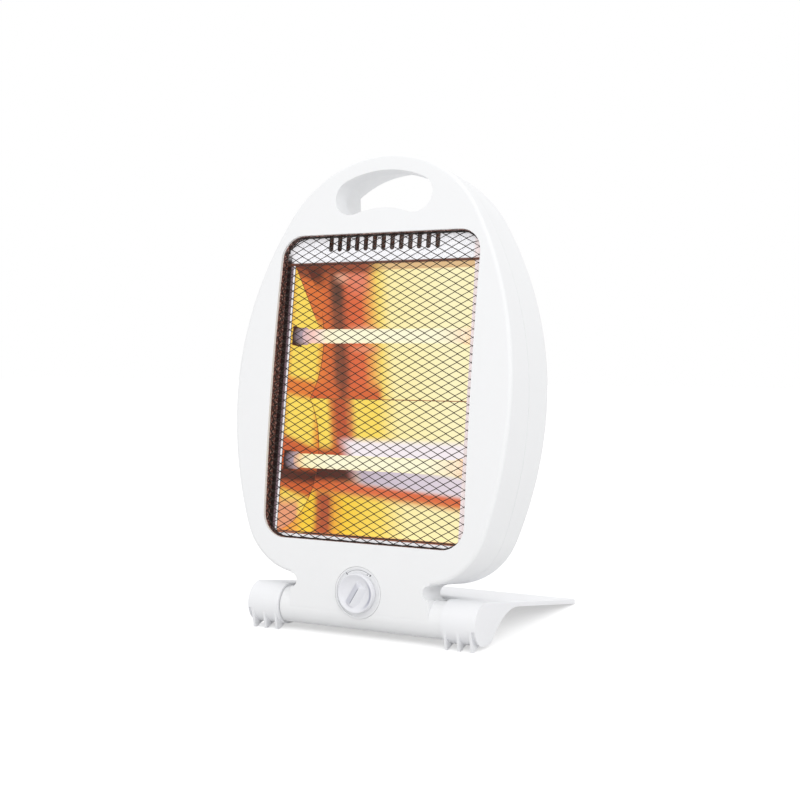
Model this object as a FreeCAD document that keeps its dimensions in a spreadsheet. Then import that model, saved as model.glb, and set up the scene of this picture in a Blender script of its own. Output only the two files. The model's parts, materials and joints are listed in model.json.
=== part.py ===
"""Portable quartz heater with a folding stand. Lengths are in millimetres and angles in degrees.

The body is drawn upright around the hinge axis (X to the right, Y to the back, Z up along the body)
and then leans back with the frame that leaned() gives. The stand is drawn around the same axis and
doesn't lean. The dial has a frame of its own, square to the curved face. In the finished part the
origin is on the floor, under the middle of the heater.
"""
import FreeCAD, Part
import math
import os

import Sketcher
from FreeCAD import Placement, Rotation, Vector

doc = FreeCAD.newDocument("QuartzHeater")
sheet = doc.addObject("Spreadsheet::Sheet", "Sizes")

# Driving sizes: alias and value, or a formula of other sizes
SIZES = [
    # Stance
    ("lean_angle", 8.0),
    ("axis_height", 20.0),
    # Body outline, heights measured along the body from the hinge axis
    ("body_half_width", 126.5),
    ("body_widest_height", 175.0),
    ("body_top_height", 375.2),
    ("body_bottom_height", 26.5),
    ("top_radius", 99.5),
    ("lower_side_radius", 350.0),
    ("bottom_corner_radius", 55.0),
    # Body side profile: two shallow arcs
    ("face_radius", 1800.0),
    ("face_peak_height", 190.0),
    ("face_peak_depth", 25.3),
    ("back_radius", 1200.0),
    ("back_peak_height", 162.0),
    ("back_peak_depth", 58.0),
    ("face_edge_radius", 3.0),
    ("back_edge_radius", 9.5),
    ("wall", 2.5),
    ("parting_low_depth", 21.5),
    ("parting_top_depth", -3.0),
    ("seam_gap", 0.3),
    # Window and handle hole
    ("frame_margin", 34.3),
    ("window_half_width", "=body_half_width - frame_margin"),
    ("window_bottom_height", 55.0),
    ("window_top_height", 308.5),
    ("window_corner_radius", 19.5),
    ("window_lip", 2.0),
    ("handle_half_width", 45.0),
    ("handle_end_radius", 15.5),
    ("handle_centre_height", 339.7),
    ("handle_top_height", 361.7),
    ("handle_sag_height", 329.4),
    ("handle_back_half_width", 57.0),
    ("handle_back_end_radius", 28.0),
    ("handle_back_centre_height", 347.0),
    ("handle_back_margin", 3.0),
    ("handle_back_sag_height", 323.4),
    ("handle_back_sag_radius", 150.0),
    # Barrel and neck
    ("barrel_radius", 15.0),
    ("barrel_half_length", 74.0),
    ("barrel_hub_length", 16.0),
    ("neck_half_width", 58.0),
    # Cover bosses and screws
    ("boss_radius", 4.2),
    ("boss_margin", 13.5),
    ("boss_low_height", 39.0),
    ("boss_lower_height", 150.0),
    ("boss_upper_height", 240.0),
    ("boss_high_height", 325.0),
    ("cover_screw_radius", 1.5),
    ("cover_screw_head_radius", 3.2),
    ("cover_screw_head_height", 2.2),
    ("cover_screw_seat", 4.0),
    ("cover_screw_grip", 9.5),
    ("screw_clearance", 0.1),
    ("screw_room", 0.4),
    # Rear vents
    ("vent_width", 4.0),
    ("vent_length", 44.0),
    ("vent_pitch", 12.0),
    ("vent_count", 11.0),
    ("vent_low_height", 92.0),
    ("vent_high_height", 258.0),
    # Guard mesh
    ("guard_gap", 0.8),
    ("guard_setback", 1.0),
    ("guard_sheet", 1.0),
    ("guard_border", 3.0),
    ("cell_width", 24.2),
    ("cell_height", 13.2),
    ("cell_wire", 1.3),
    # Reflector
    ("flange_depth", 13.0),
    ("sheet_thickness", 0.8),
    ("flange_overlap", 4.8),
    ("flange_half_width", "=window_half_width + flange_overlap"),
    ("flange_bottom_height", 49.0),
    ("flange_top_height", 316.0),
    ("flange_corner_radius", 25.0),
    ("flange_ear_margin", 8.8),
    ("flange_ear_reach", "=window_half_width + flange_ear_margin"),
    ("flange_ear_radius", 6.0),
    ("ear_low_height", 95.0),
    ("ear_high_height", 265.0),
    ("post_radius", 4.0),
    ("reflector_screw_radius", 1.2),
    ("reflector_screw_head_radius", 2.6),
    ("reflector_screw_head_height", 1.6),
    ("reflector_screw_grip", 6.5),
    ("slot_count", 13.0),
    ("slot_pitch", 8.3),
    ("slot_width", 4.2),
    ("slot_bottom_height", 295.4),
    ("slot_top_height", 310.0),
    ("trough_margin", 8.2),
    ("trough_half_length", "=window_half_width - trough_margin"),
    ("trough_gap", 0.2),
    ("ridge_height", 175.0),
    ("mouth_bottom_height", 59.6),
    ("mouth_top_height", 285.0),
    ("upper_trough_radius", 74.0),
    ("upper_trough_depth", -33.0),
    ("upper_trough_rise", 46.7),
    ("upper_trough_height", "=ridge_height + upper_trough_rise"),
    ("lower_trough_radius", 66.4),
    ("lower_trough_depth", -21.0),
    ("lower_trough_drop", 48.5),
    ("lower_trough_height", "=ridge_height - lower_trough_drop"),
    ("end_plate_rim", 1.2),
    # Quartz tubes, coils and caps
    ("tube_depth", -3.0),
    ("upper_tube_rise", 50.4),
    ("upper_tube_height", "=ridge_height + upper_tube_rise"),
    ("lower_tube_drop", 55.2),
    ("lower_tube_height", "=ridge_height - lower_tube_drop"),
    ("tube_radius", 6.0),
    ("tube_wall", 1.0),
    ("tube_end_margin", 6.0),
    ("tube_half_length", "=trough_half_length - tube_end_margin"),
    ("tube_fit", 0.1),
    ("coil_radius", 3.6),
    ("coil_wire", 0.8),
    ("coil_end_margin", 14.0),
    ("coil_half_length", "=trough_half_length - coil_end_margin"),
    ("lead_pin_radius", 0.8),
    ("lead_pin_overhang", 13.0),
    ("lead_pin_reach", "=trough_half_length + lead_pin_overhang"),
    ("cap_radius", 7.4),
    ("cap_length_inside", 9.5),
    ("cap_length_outside", 10.0),
    ("cap_inner_reach", "=trough_half_length - cap_length_inside"),
    ("cap_outer_reach", "=trough_half_length + cap_length_outside"),
    ("cap_neck_radius", 6.4),
    ("cap_gap", 0.1),
    ("bracket_size", 18.0),
    ("bracket_sheet", 1.2),
    # Dial, knob and switch
    ("dial_height", 15.6),
    ("dial_radius", 21.1),
    ("dial_recess", 2.5),
    ("dial_play", 0.3),
    ("dial_plate_thickness", 1.5),
    ("dial_rim_width", 1.3),
    ("knob_radius", 16.0),
    ("knob_proud", 5.0),
    ("knob_gap", 0.5),
    ("knob_edge_radius", 1.0),
    ("knob_rim_width", 1.6),
    ("knob_cup_depth", 3.2),
    ("grip_length", 22.0),
    ("grip_width", 7.5),
    ("grip_drop", 0.6),
    ("grip_angle", 28.0),
    ("shaft_radius", 3.0),
    ("shaft_play", 0.05),
    ("shaft_hole_play", 0.5),
    ("shaft_bite", 3.6),
    ("switch_width", 28.0),
    ("switch_height", 22.0),
    ("switch_depth", 15.0),
    ("switch_shaft_seat", 8.0),
    ("switch_screw_reach", 10.5),
    ("switch_screw_radius", 1.3),
    ("switch_screw_head_radius", 2.5),
    ("switch_screw_head_height", 1.2),
    ("switch_screw_grip", 6.0),
    # Parts on the floor of the rear cover
    ("floor_gap", 0.1),
    ("terminal_left", -19.0),
    ("terminal_length", 28.0),
    ("terminal_front", 24.0),
    ("terminal_width", 15.0),
    ("terminal_rise", 13.0),
    ("terminal_screw_radius", 2.0),
    ("terminal_screw_depth", 4.0),
    ("terminal_count", 3.0),
    ("tip_frame_left", 11.0),
    ("tip_frame_length", 24.0),
    ("tip_frame_front", 24.0),
    ("tip_frame_width", 17.0),
    ("tip_frame_rise", 24.0),
    ("tip_frame_wall", 2.0),
    ("swing_height", 20.0),
    ("swing_pin_radius", 1.2),
    ("swing_pin_play", 0.05),
    ("swing_arm_length", 10.5),
    ("swing_arm_width", 2.4),
    ("weight_radius", 5.5),
    ("weight_width", 9.0),
    ("micro_lift", 4.0),
    ("micro_length", 14.0),
    ("micro_width", 15.0),
    ("micro_rise", 14.0),
    ("micro_button_radius", 1.5),
    ("micro_button_reach", 3.6),
    ("cutout_radius", 7.5),
    ("cutout_flange_length", 1.5),
    ("cutout_can_radius", 5.5),
    ("cutout_length", 6.0),
    ("cutout_height", "=(upper_tube_height + lower_tube_height) / 2"),
    ("cutout_gap", 0.1),
    # Cord inlet
    ("gland_side", -34.0),
    ("gland_height", 46.0),
    ("gland_flange_radius", 9.0),
    ("gland_flange_length", 2.5),
    ("gland_neck_radius", 6.0),
    ("gland_fit", 0.1),
    ("gland_nose_radius", 6.5),
    ("gland_nose_length", 8.0),
    ("gland_snap_radius", 7.4),
    ("gland_snap_length", 3.0),
    ("gland_bore_radius", 3.6),
    ("clamp_depth", 40.0),
    ("clamp_half_span", 9.0),
    ("clamp_post_radius", 3.5),
    ("clamp_rise", 12.0),
    ("clamp_bar_overhang", 4.0),
    ("clamp_bar_width", 7.0),
    ("clamp_bar_thickness", 2.5),
    ("clamp_screw_radius", 1.2),
    ("clamp_screw_head_radius", 2.4),
    ("clamp_screw_head_height", 1.5),
    ("clamp_screw_grip", 5.0),
    # Inner wires
    ("wire_radius", 1.1),
    ("wire_bend_radius", 5.0),
    ("wire_gap", 0.3),
    ("wire_run_height", 48.5),
    ("wire_pitch", 3.3),
    ("wire_start_pitch", 4.4),
    ("wire_turn_margin", 4.0),
    ("wire_side_margin", 19.0),
    ("wire_turn_reach", "=trough_half_length + wire_turn_margin"),
    ("wire_side_reach", "=trough_half_length + wire_side_margin"),
    ("wire_side_height", 75.0),
    ("wire_outer_depth", 16.0),
    # Stand
    ("drum_radius", 17.0),
    ("drum_gap", 0.8),
    ("stand_half_width", 104.5),
    ("stand_reach", 207.0),
    ("plate_thickness", 4.2),
    ("plate_setback", 5.0),
    ("plate_corner_radius", 7.0),
    ("plate_edge_radius", 1.2),
    ("rest_flat", 0.4),
    ("heel_depth", 9.0),
    ("heel_drop", 4.0),
    ("heel_radius", 13.4),
    ("arm_hollow_radius", 60.0),
    ("hinge_pin_radius", 6.0),
    ("hinge_pin_length", 13.0),
    ("hinge_play", 0.05),
    ("fin_thickness", 2.0),
    ("fin_outer_reach", 100.2),
    ("fin_pitch", 11.0),
    ("fin_count", 3.0),
    ("fin_front_drop", 3.0),
    ("fin_tip_depth", 13.5),
    ("fin_tip_flat", 2.5),
    ("drum_slot_width", 2.4),
    ("drum_slot_depth", 1.4),
    ("overrun", 10.0),
    ("tolerance", 0.001),
]

for row, (alias, size) in enumerate(SIZES, start=1):
    sheet.set("A%d" % row, alias)
    sheet.set("B%d" % row, str(size))
    sheet.setAlias("B%d" % row, alias)
doc.recompute()


class Reader:
    """Reads a size from the sheet by its alias."""

    def __getattr__(self, alias):
        return float(sheet.get(alias))


S = Reader()
ALONG_X = Vector(1, 0, 0)
ALONG_Y = Vector(0, 1, 0)
ALONG_Z = Vector(0, 0, 1)
QUARTER_TURN = 90
HALF_TURN = 180


# Lines, arcs and prisms

def front(across, up):
    """A point of a front view."""
    return Vector(across, 0, up)


def side(depth, up):
    """A point of a side view."""
    return Vector(0, depth, up)


def flat(across, depth):
    """A point of a plan view."""
    return Vector(across, depth, 0)


def around(centre, radius, angle):
    """The point at an angle on a circle, in degrees from the view's first axis."""
    turn = math.radians(angle)
    return centre[0] + radius * math.cos(turn), centre[1] + radius * math.sin(turn)


def arc(view, centre, radius, start, end):
    points = [around(centre, radius, angle) for angle in (start, (start + end) / 2, end)]
    return Part.Arc(*[view(*point) for point in points]).toShape()


def line(view, start, end):
    return Part.LineSegment(view(*start), view(*end)).toShape()


def outline(view, points):
    """The closed outline through the points."""
    return [line(view, here, there) for here, there in zip(points, points[1:] + points[:1])]


def prism(edges, start, end, along):
    """The solid between two places along an axis whose section is the closed outline."""
    face = Part.Face(Part.Wire(Part.__sortEdges__(edges)))
    face.translate(along * start)
    return face.extrude(along * (end - start))


def rod(radius, start, end, along, centre=Vector()):
    """A round bar between two places along an axis through a centre."""
    return Part.makeCylinder(radius, end - start, centre + along * start, along)


def block(low, high):
    return Part.makeBox(high[0] - low[0], high[1] - low[1], high[2] - low[2], Vector(*low))


def joined(shapes):
    """One solid made of shapes that overlap, with no seams left in its faces."""
    return shapes[0].fuse(shapes[1:]).removeSplitter()


def trimmed(shapes, room):
    """The parts of shapes that lie in a room. Each of them has to reach into it."""
    pieces = [shape.common(room.copy()) for shape in shapes]
    for piece in pieces:
        if not piece.Solids:
            raise RuntimeError("a shape doesn't reach into its room")
    return pieces


def mirrored(shape):
    """The shape's mirror image on the other side of the heater."""
    return shape.mirror(Vector(), ALONG_X)


def rounded_rectangle(half_width, low, high, radius):
    """A front outline with round corners, centred across the heater."""
    x, top, bottom = half_width - radius, high - radius, low + radius
    return [
        line(front, (half_width, bottom), (half_width, top)),
        arc(front, (x, top), radius, 0, 90),
        line(front, (x, high), (-x, high)),
        arc(front, (-x, top), radius, 90, 180),
        line(front, (-half_width, top), (-half_width, bottom)),
        arc(front, (-x, bottom), radius, 180, 270),
        line(front, (-x, low), (x, low)),
        arc(front, (x, bottom), radius, 270, 360),
    ]


# Frames

def face_depth(height, setback=0.0):
    """How deep the curved face lies at a height of the body, or a surface that far behind it."""
    radius = S.face_radius - setback
    rise = height - S.face_peak_height
    return S.face_radius - S.face_peak_depth - math.sqrt(radius ** 2 - rise ** 2)


def dial_tilt():
    """The slope of the face at the dial."""
    return math.degrees(math.asin((S.face_peak_height - S.dial_height) / S.face_radius))


def knob_reach():
    """How far the knob stands in front of the hinge axis, as the heater stands."""
    lean = math.radians(S.lean_angle)
    tilt = math.radians(S.lean_angle - dial_tilt())
    centre = face_depth(S.dial_height) * math.cos(lean) + S.dial_height * math.sin(lean)
    front_edge = (S.knob_edge_radius - S.knob_proud) * math.cos(tilt)
    low_edge = (S.knob_edge_radius - S.knob_radius) * math.sin(tilt)
    return S.knob_edge_radius - centre - front_edge - low_edge


def upright():
    """The frame of the stand: the hinge axis, with the heater's middle over the origin."""
    return Placement(Vector(0, (knob_reach() - S.stand_reach) / 2, S.axis_height), Rotation())


def leaned():
    """The frame of the body: the stand's frame, leaned back."""
    return upright() * Placement(Vector(), Rotation(ALONG_X, -S.lean_angle))


def dialled():
    """The frame of the dial: its centre on the face, with Y inwards and square to the face."""
    centre = Vector(0, face_depth(S.dial_height), S.dial_height)
    return leaned() * Placement(centre, Rotation(ALONG_X, dial_tilt()))


def facing_out(depth):
    """The frame of a turned part of the dial: Z outwards, at a depth under the face."""
    return dialled() * Placement(Vector(0, depth, 0), Rotation(ALONG_X, QUARTER_TURN))


# Body outline and shells

def side_arc_radius():
    """The upper side arc's radius, which lets it run smoothly into the top arc."""
    rise = S.body_top_height - S.top_radius - S.body_widest_height
    wide = S.body_half_width
    return (wide ** 2 + rise ** 2 - S.top_radius ** 2) / (2 * (wide - S.top_radius))


def body_arcs(inset=0.0):
    """The four arcs of the right half, from the top down, as centre, radius, start and end angle."""
    widest = S.body_widest_height
    top_centre = (0.0, S.body_top_height - S.top_radius)
    side_radius = side_arc_radius()
    side_centre = (S.body_half_width - side_radius, widest)
    lower_centre = (S.body_half_width - S.lower_side_radius, widest)
    drop = widest - S.body_bottom_height - S.bottom_corner_radius
    reach = math.sqrt((S.lower_side_radius - S.bottom_corner_radius) ** 2 - drop ** 2)
    corner_centre = (lower_centre[0] + reach, widest - drop)
    upper_turn = math.degrees(math.atan2(top_centre[1] - widest, -side_centre[0]))
    lower_turn = math.degrees(math.atan2(drop, reach))
    return [
        (top_centre, S.top_radius - inset, 90, upper_turn),
        (side_centre, side_radius - inset, upper_turn, 0),
        (lower_centre, S.lower_side_radius - inset, 0, -lower_turn),
        (corner_centre, S.bottom_corner_radius - inset, -lower_turn, -90),
    ]


def body_outline(inset=0.0):
    """The egg-shaped front outline, drawn in by an inset."""
    edges = []
    for centre, radius, start, end in body_arcs(inset):
        edges.append(arc(front, centre, radius, start, end))
        edges.append(arc(front, (-centre[0], centre[1]), radius, HALF_TURN - start, HALF_TURN - end))
    corner_centre, radius, _, _ = body_arcs(inset)[-1]
    bottom = corner_centre[1] - radius
    edges.append(line(front, (corner_centre[0], bottom), (-corner_centre[0], bottom)))
    return edges


def half_width_at(height):
    """Half the body's width at a height."""
    for centre, radius, start, end in body_arcs():
        low_end = around(centre, radius, end)[1]
        if height >= low_end:
            break
    return centre[0] + math.sqrt(radius ** 2 - (height - centre[1]) ** 2)


def face_cylinder(setback=0.0):
    """The space behind the curved face, or behind a surface that far inside it."""
    span = S.body_half_width + S.overrun
    centre = Vector(0, S.face_radius - S.face_peak_depth, S.face_peak_height)
    return rod(S.face_radius - setback, -span, span, ALONG_X, centre)


def back_cylinder(setback=0.0):
    """The space in front of the curved back, or of a surface that far inside it."""
    span = S.body_half_width + S.overrun
    centre = Vector(0, S.back_peak_depth - S.back_radius, S.back_peak_height)
    return rod(S.back_radius - setback, -span, span, ALONG_X, centre)


def round_cylinder_edges(shape, cylinder_radius, edge_radius):
    """Rounds the edges of the face that lies on a cylinder of this radius."""
    edges = []
    for face in shape.Faces:
        if isinstance(face.Surface, Part.Cylinder):
            if abs(face.Surface.Radius - cylinder_radius) < S.tolerance:
                edges += face.Edges
    return shape.makeFillet(edge_radius, edges)


def body_solid(inset=0.0):
    """The body's full shape, drawn in by an inset on every side."""
    front_limit = -S.face_peak_depth - S.overrun
    back_limit = S.back_peak_depth + S.overrun
    shape = prism(body_outline(inset), front_limit, back_limit, ALONG_Y)
    shape = shape.common(face_cylinder(inset)).common(back_cylinder(inset))
    shape = round_cylinder_edges(shape, S.back_radius - inset, S.back_edge_radius - inset)
    if inset == 0:
        shape = round_cylinder_edges(shape, S.face_radius, S.face_edge_radius)
    return shape


def parting_depth(height):
    """Where the covers meet, at a height of the body."""
    tall = S.body_top_height - S.body_bottom_height
    share = (height - S.body_bottom_height) / tall
    return S.parting_low_depth + share * (S.parting_top_depth - S.parting_low_depth)


def parting_space(behind, gap=0.0):
    """All the space behind or ahead of the parting plane, moved back by a gap."""
    low, high = -S.barrel_radius - S.overrun, S.body_top_height + S.overrun
    limit = S.back_peak_depth + S.overrun
    if not behind:
        limit = -limit
    points = [
        (limit, low),
        (parting_depth(low) + gap, low),
        (parting_depth(high) + gap, high),
        (limit, high),
    ]
    span = S.body_half_width + S.overrun
    return prism(outline(side, points), -span, span, ALONG_X)


def handle_outline(grow=0.0):
    """The bean-shaped handle hole: two round ends, a bowed top and a bottom that bulges up."""
    end = S.handle_end_radius
    x = S.handle_half_width - end
    z = S.handle_centre_height
    top, low = S.handle_top_height, S.handle_sag_height
    rise, sag = top - z, z - low
    top_radius = (x ** 2 + rise ** 2 - end ** 2) / (2 * (rise - end))
    low_radius = (x ** 2 + sag ** 2 - end ** 2) / (2 * (end - sag))
    top_centre = (0, top - top_radius)
    low_centre = (0, low - low_radius)
    high_turn = math.degrees(math.atan2(z - top_centre[1], x))
    low_turn = math.degrees(math.atan2(z - low_centre[1], x))
    return [
        arc(front, top_centre, top_radius + grow, high_turn, HALF_TURN - high_turn),
        arc(front, (-x, z), end + grow, HALF_TURN - high_turn, 2 * HALF_TURN - low_turn),
        arc(front, low_centre, low_radius - grow, HALF_TURN - low_turn, low_turn),
        arc(front, (x, z), end + grow, low_turn - HALF_TURN, high_turn),
    ]


def right_crossing(low_centre, low_radius, high_centre, high_radius):
    """The turns of the right-hand point where two circles cross, seen from each centre."""
    across, up = high_centre[0] - low_centre[0], high_centre[1] - low_centre[1]
    apart = math.hypot(across, up)
    along = (apart ** 2 + low_radius ** 2 - high_radius ** 2) / (2 * apart)
    aside = math.sqrt(low_radius ** 2 - along ** 2)
    point = (along * across + aside * up) / apart, (along * up - aside * across) / apart
    low_turn = math.degrees(math.atan2(point[1], point[0]))
    high_turn = math.degrees(math.atan2(point[1] - up, point[0] - across))
    return low_turn, high_turn


def handle_back_outline(grow=0.0):
    """The hole at the back: its top runs along the body's own outline, a thin wall inside it."""
    end = S.handle_back_end_radius + grow
    x = S.handle_back_half_width - S.handle_back_end_radius
    z = S.handle_back_centre_height
    top_radius = S.top_radius - S.handle_back_margin + grow
    low_radius = S.handle_back_sag_radius - grow
    top_centre = (0, S.body_top_height - S.top_radius)
    low_centre = (0, S.handle_back_sag_height - S.handle_back_sag_radius)
    high_turn, end_high_turn = right_crossing(top_centre, top_radius, (x, z), end)
    low_turn, end_low_turn = right_crossing(low_centre, low_radius, (x, z), end)
    return [
        arc(front, top_centre, top_radius, high_turn, HALF_TURN - high_turn),
        arc(front, (-x, z), end, HALF_TURN - end_high_turn, HALF_TURN - end_low_turn),
        arc(front, low_centre, low_radius, HALF_TURN - low_turn, low_turn),
        arc(front, (x, z), end, end_low_turn, end_high_turn),
    ]


def flared_handle(grow=0.0):
    """The handle hole behind the seam, where it widens towards the back."""
    start = parting_depth(S.handle_top_height) - S.seam_gap
    full = back_depth(S.body_top_height)
    wires = []
    for depth, edges in ((start, handle_outline(grow)), (full, handle_back_outline(grow))):
        wire = Part.Wire(edges)
        wire.translate(ALONG_Y * depth)
        wires.append(wire)
    mouth = prism(handle_back_outline(grow), full, S.back_peak_depth + S.overrun, ALONG_Y)
    return joined([Part.makeLoft(wires, True, True), mouth])


def full_depth_prism(edges):
    """A front outline through the whole body."""
    return prism(edges, -S.face_peak_depth - S.overrun, S.back_peak_depth + S.overrun, ALONG_Y)


def boss_places():
    """Where the cover screws go, as pairs across and up."""
    heights = (S.boss_low_height, S.boss_lower_height, S.boss_upper_height, S.boss_high_height)
    places = []
    for height in heights:
        reach = half_width_at(height) - S.boss_margin
        places += [(-reach, height), (reach, height)]
    return places


def ear_places():
    """Where the reflector flange is screwed to the front cover."""
    heights = (S.ear_low_height, S.ear_high_height)
    return [(across * S.flange_ear_reach, height) for height in heights for across in (-1, 1)]


def window_outline(grow=0.0):
    return rounded_rectangle(
        S.window_half_width + grow,
        S.window_bottom_height - grow,
        S.window_top_height + grow,
        S.window_corner_radius + grow,
    )


def neck_outline(inset=0.0):
    """The neck between the body and the barrel, with a round notch at each side."""
    notch = (S.body_bottom_height - S.barrel_radius) / 2
    reach = S.neck_half_width + notch
    top = S.body_bottom_height + S.wall
    middle = S.barrel_radius + notch
    return [
        line(front, (-reach, 0), (reach, 0)),
        line(front, (reach, 0), (reach, S.barrel_radius)),
        arc(front, (reach, middle), notch, 270, 90),
        line(front, (reach, S.body_bottom_height), (reach, top)),
        line(front, (reach, top), (-reach, top)),
        line(front, (-reach, top), (-reach, S.body_bottom_height)),
        arc(front, (-reach, middle), notch, 90, -90),
        line(front, (-reach, S.barrel_radius), (-reach, 0)),
    ]


def front_cover_shape():
    front_limit = -S.face_peak_depth - S.overrun
    inside = body_solid().common(parting_space(behind=False))
    neck = prism(neck_outline(), front_limit, S.barrel_radius, ALONG_Y).common(face_cylinder())
    barrel = rod(S.barrel_radius, -S.barrel_half_length, S.barrel_half_length, ALONG_X)
    whole = joined([inside.copy(), neck, barrel])

    # The hollow inside the body, the neck and the barrel
    hollow = body_solid(S.wall)
    neck_room = S.neck_half_width - S.wall
    room_top = S.body_bottom_height + S.overrun
    neck_hollow = block((-neck_room, front_limit, 0), (neck_room, S.barrel_radius - S.wall, room_top))
    neck_hollow = neck_hollow.common(face_cylinder(S.wall))
    hub = S.barrel_half_length - S.barrel_hub_length
    barrel_hollow = rod(S.barrel_radius - S.wall, -hub, hub, ALONG_X)
    shell = whole.cut(hollow).cut(neck_hollow).cut(barrel_hollow)

    # Collar of the handle hole, lip of the window, bosses and posts
    collar = full_depth_prism(handle_outline(S.wall))
    lip = prism(window_outline(S.window_lip), front_limit, -S.flange_depth, ALONG_Y)
    additions = [collar, lip]
    for across, up in boss_places():
        centre = Vector(across, 0, up)
        end = parting_depth(up) + S.boss_radius
        additions.append(rod(S.boss_radius, front_limit, end, ALONG_Y, centre))
    for across, up in ear_places():
        centre = Vector(across, 0, up)
        additions.append(rod(S.post_radius, front_limit, -S.flange_depth, ALONG_Y, centre))
    pad = rod(S.dial_radius + S.wall, 0, S.dial_recess + S.wall, ALONG_Y)
    pad.Placement = leaned().inverse() * dialled()
    shell = joined([shell] + trimmed(additions, inside) + trimmed([pad], whole))

    # Openings
    cuts = [rod(S.dial_radius, -S.overrun, S.dial_recess, ALONG_Y)]
    cuts.append(rod(S.shaft_radius + S.shaft_hole_play, 0, S.dial_recess + S.wall * 2, ALONG_Y))
    for across in (-S.switch_screw_reach, S.switch_screw_reach):
        centre = Vector(across, 0, 0)
        head_end = S.dial_recess + S.switch_screw_head_height
        cuts.append(rod(S.switch_screw_head_radius + S.screw_clearance, 0, head_end, ALONG_Y, centre))
        hole = S.switch_screw_radius + S.screw_clearance
        cuts.append(rod(hole, 0, S.dial_recess + S.wall * 2, ALONG_Y, centre))
    for shape in cuts:
        shape.Placement = leaned().inverse() * dialled() * shape.Placement
    cuts.append(prism(window_outline(), front_limit, S.back_peak_depth, ALONG_Y))
    cuts.append(full_depth_prism(handle_outline()))

    # Hinge bores and screw holes
    for start, end in ((-S.barrel_half_length, -hub), (hub, S.barrel_half_length)):
        radius = S.hinge_pin_radius + S.hinge_play
        cuts.append(rod(radius, start - S.wall, end + S.wall, ALONG_X))
    hole = S.cover_screw_radius + S.screw_clearance
    for across, up in boss_places():
        end = parting_depth(up) + S.boss_radius
        start = parting_depth(up) - S.cover_screw_grip - S.screw_room
        cuts.append(rod(hole, start, end, ALONG_Y, Vector(across, 0, up)))
    hole = S.reflector_screw_radius + S.screw_clearance
    for across, up in ear_places():
        start = -S.flange_depth - S.reflector_screw_grip - S.screw_room
        cuts.append(rod(hole, start, 0, ALONG_Y, Vector(across, 0, up)))
    return shell.cut(cuts).removeSplitter()


def slot_outline(across, low, high, width):
    """An upright slot with round ends."""
    half = width / 2
    return [
        line(front, (across + half, low + half), (across + half, high - half)),
        arc(front, (across, high - half), half, 0, 180),
        line(front, (across - half, high - half), (across - half, low + half)),
        arc(front, (across, low + half), half, 180, 360),
    ]


def floor_height():
    """The top of the rear cover's floor."""
    return S.body_bottom_height + S.wall


def back_depth(height):
    """How deep the back lies at a height of the body."""
    rise = height - S.back_peak_height
    return S.back_peak_depth - S.back_radius + math.sqrt(S.back_radius ** 2 - rise ** 2)


def inlet_place():
    """The frame of the cord inlet: its middle on the back, with Y outwards and square to the back."""
    tilt = math.degrees(math.asin((S.back_peak_height - S.gland_height) / S.back_radius))
    centre = Vector(S.gland_side, back_depth(S.gland_height), S.gland_height)
    return Placement(centre, Rotation(ALONG_X, -tilt))


def clamp_places():
    return [S.gland_side - S.clamp_half_span, S.gland_side + S.clamp_half_span]


def rear_cover_shape():
    outer = body_solid()
    behind = parting_space(behind=True, gap=S.seam_gap)
    whole = outer.common(behind)
    shell = whole.cut(body_solid(S.wall))
    far = S.back_peak_depth + S.overrun
    additions = [flared_handle(S.wall)]
    for across, up in boss_places():
        centre = Vector(across, 0, up)
        tube = S.boss_radius + S.wall / 2
        additions.append(rod(tube, parting_depth(up) - S.boss_radius, far, ALONG_Y, centre))
    for across in clamp_places():
        centre = Vector(across, S.clamp_depth, 0)
        top = floor_height() + S.clamp_rise
        additions.append(rod(S.clamp_post_radius, S.body_bottom_height, top, ALONG_Z, centre))
    shell = joined([shell] + trimmed(additions, whole))

    # Handle hole, screw wells, vents, cord inlet and clamp screw holes
    cuts = [flared_handle()]
    for across, up in boss_places():
        centre = Vector(across, 0, up)
        seat = parting_depth(up) + S.cover_screw_seat
        well = S.cover_screw_head_radius + S.screw_room
        hole = S.cover_screw_radius + S.screw_room
        cuts.append(rod(hole, parting_depth(up) - S.boss_radius, seat, ALONG_Y, centre))
        cuts.append(rod(well, seat, far, ALONG_Y, centre))
    count = int(S.vent_count)
    for height in (S.vent_low_height, S.vent_high_height):
        for index in range(count):
            across = (index - (count - 1) / 2) * S.vent_pitch
            low, high = height - S.vent_length / 2, height + S.vent_length / 2
            start = back_depth(high) - S.back_edge_radius
            slot = slot_outline(across, low, high, S.vent_width)
            cuts.append(prism(slot, start, far, ALONG_Y))
    inlet = rod(S.gland_neck_radius + S.gland_fit, -S.wall * 2, S.overrun, ALONG_Y)
    inlet.Placement = inlet_place() * inlet.Placement
    cuts.append(inlet)
    for across in clamp_places():
        top = floor_height() + S.clamp_rise
        hole = S.clamp_screw_radius + S.screw_clearance
        low = top - S.clamp_screw_grip - S.screw_room
        centre = Vector(across, S.clamp_depth, 0)
        cuts.append(rod(hole, low, top + S.overrun, ALONG_Z, centre))
    return shell.cut(cuts).removeSplitter()


# Guard mesh and reflector flange

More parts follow.
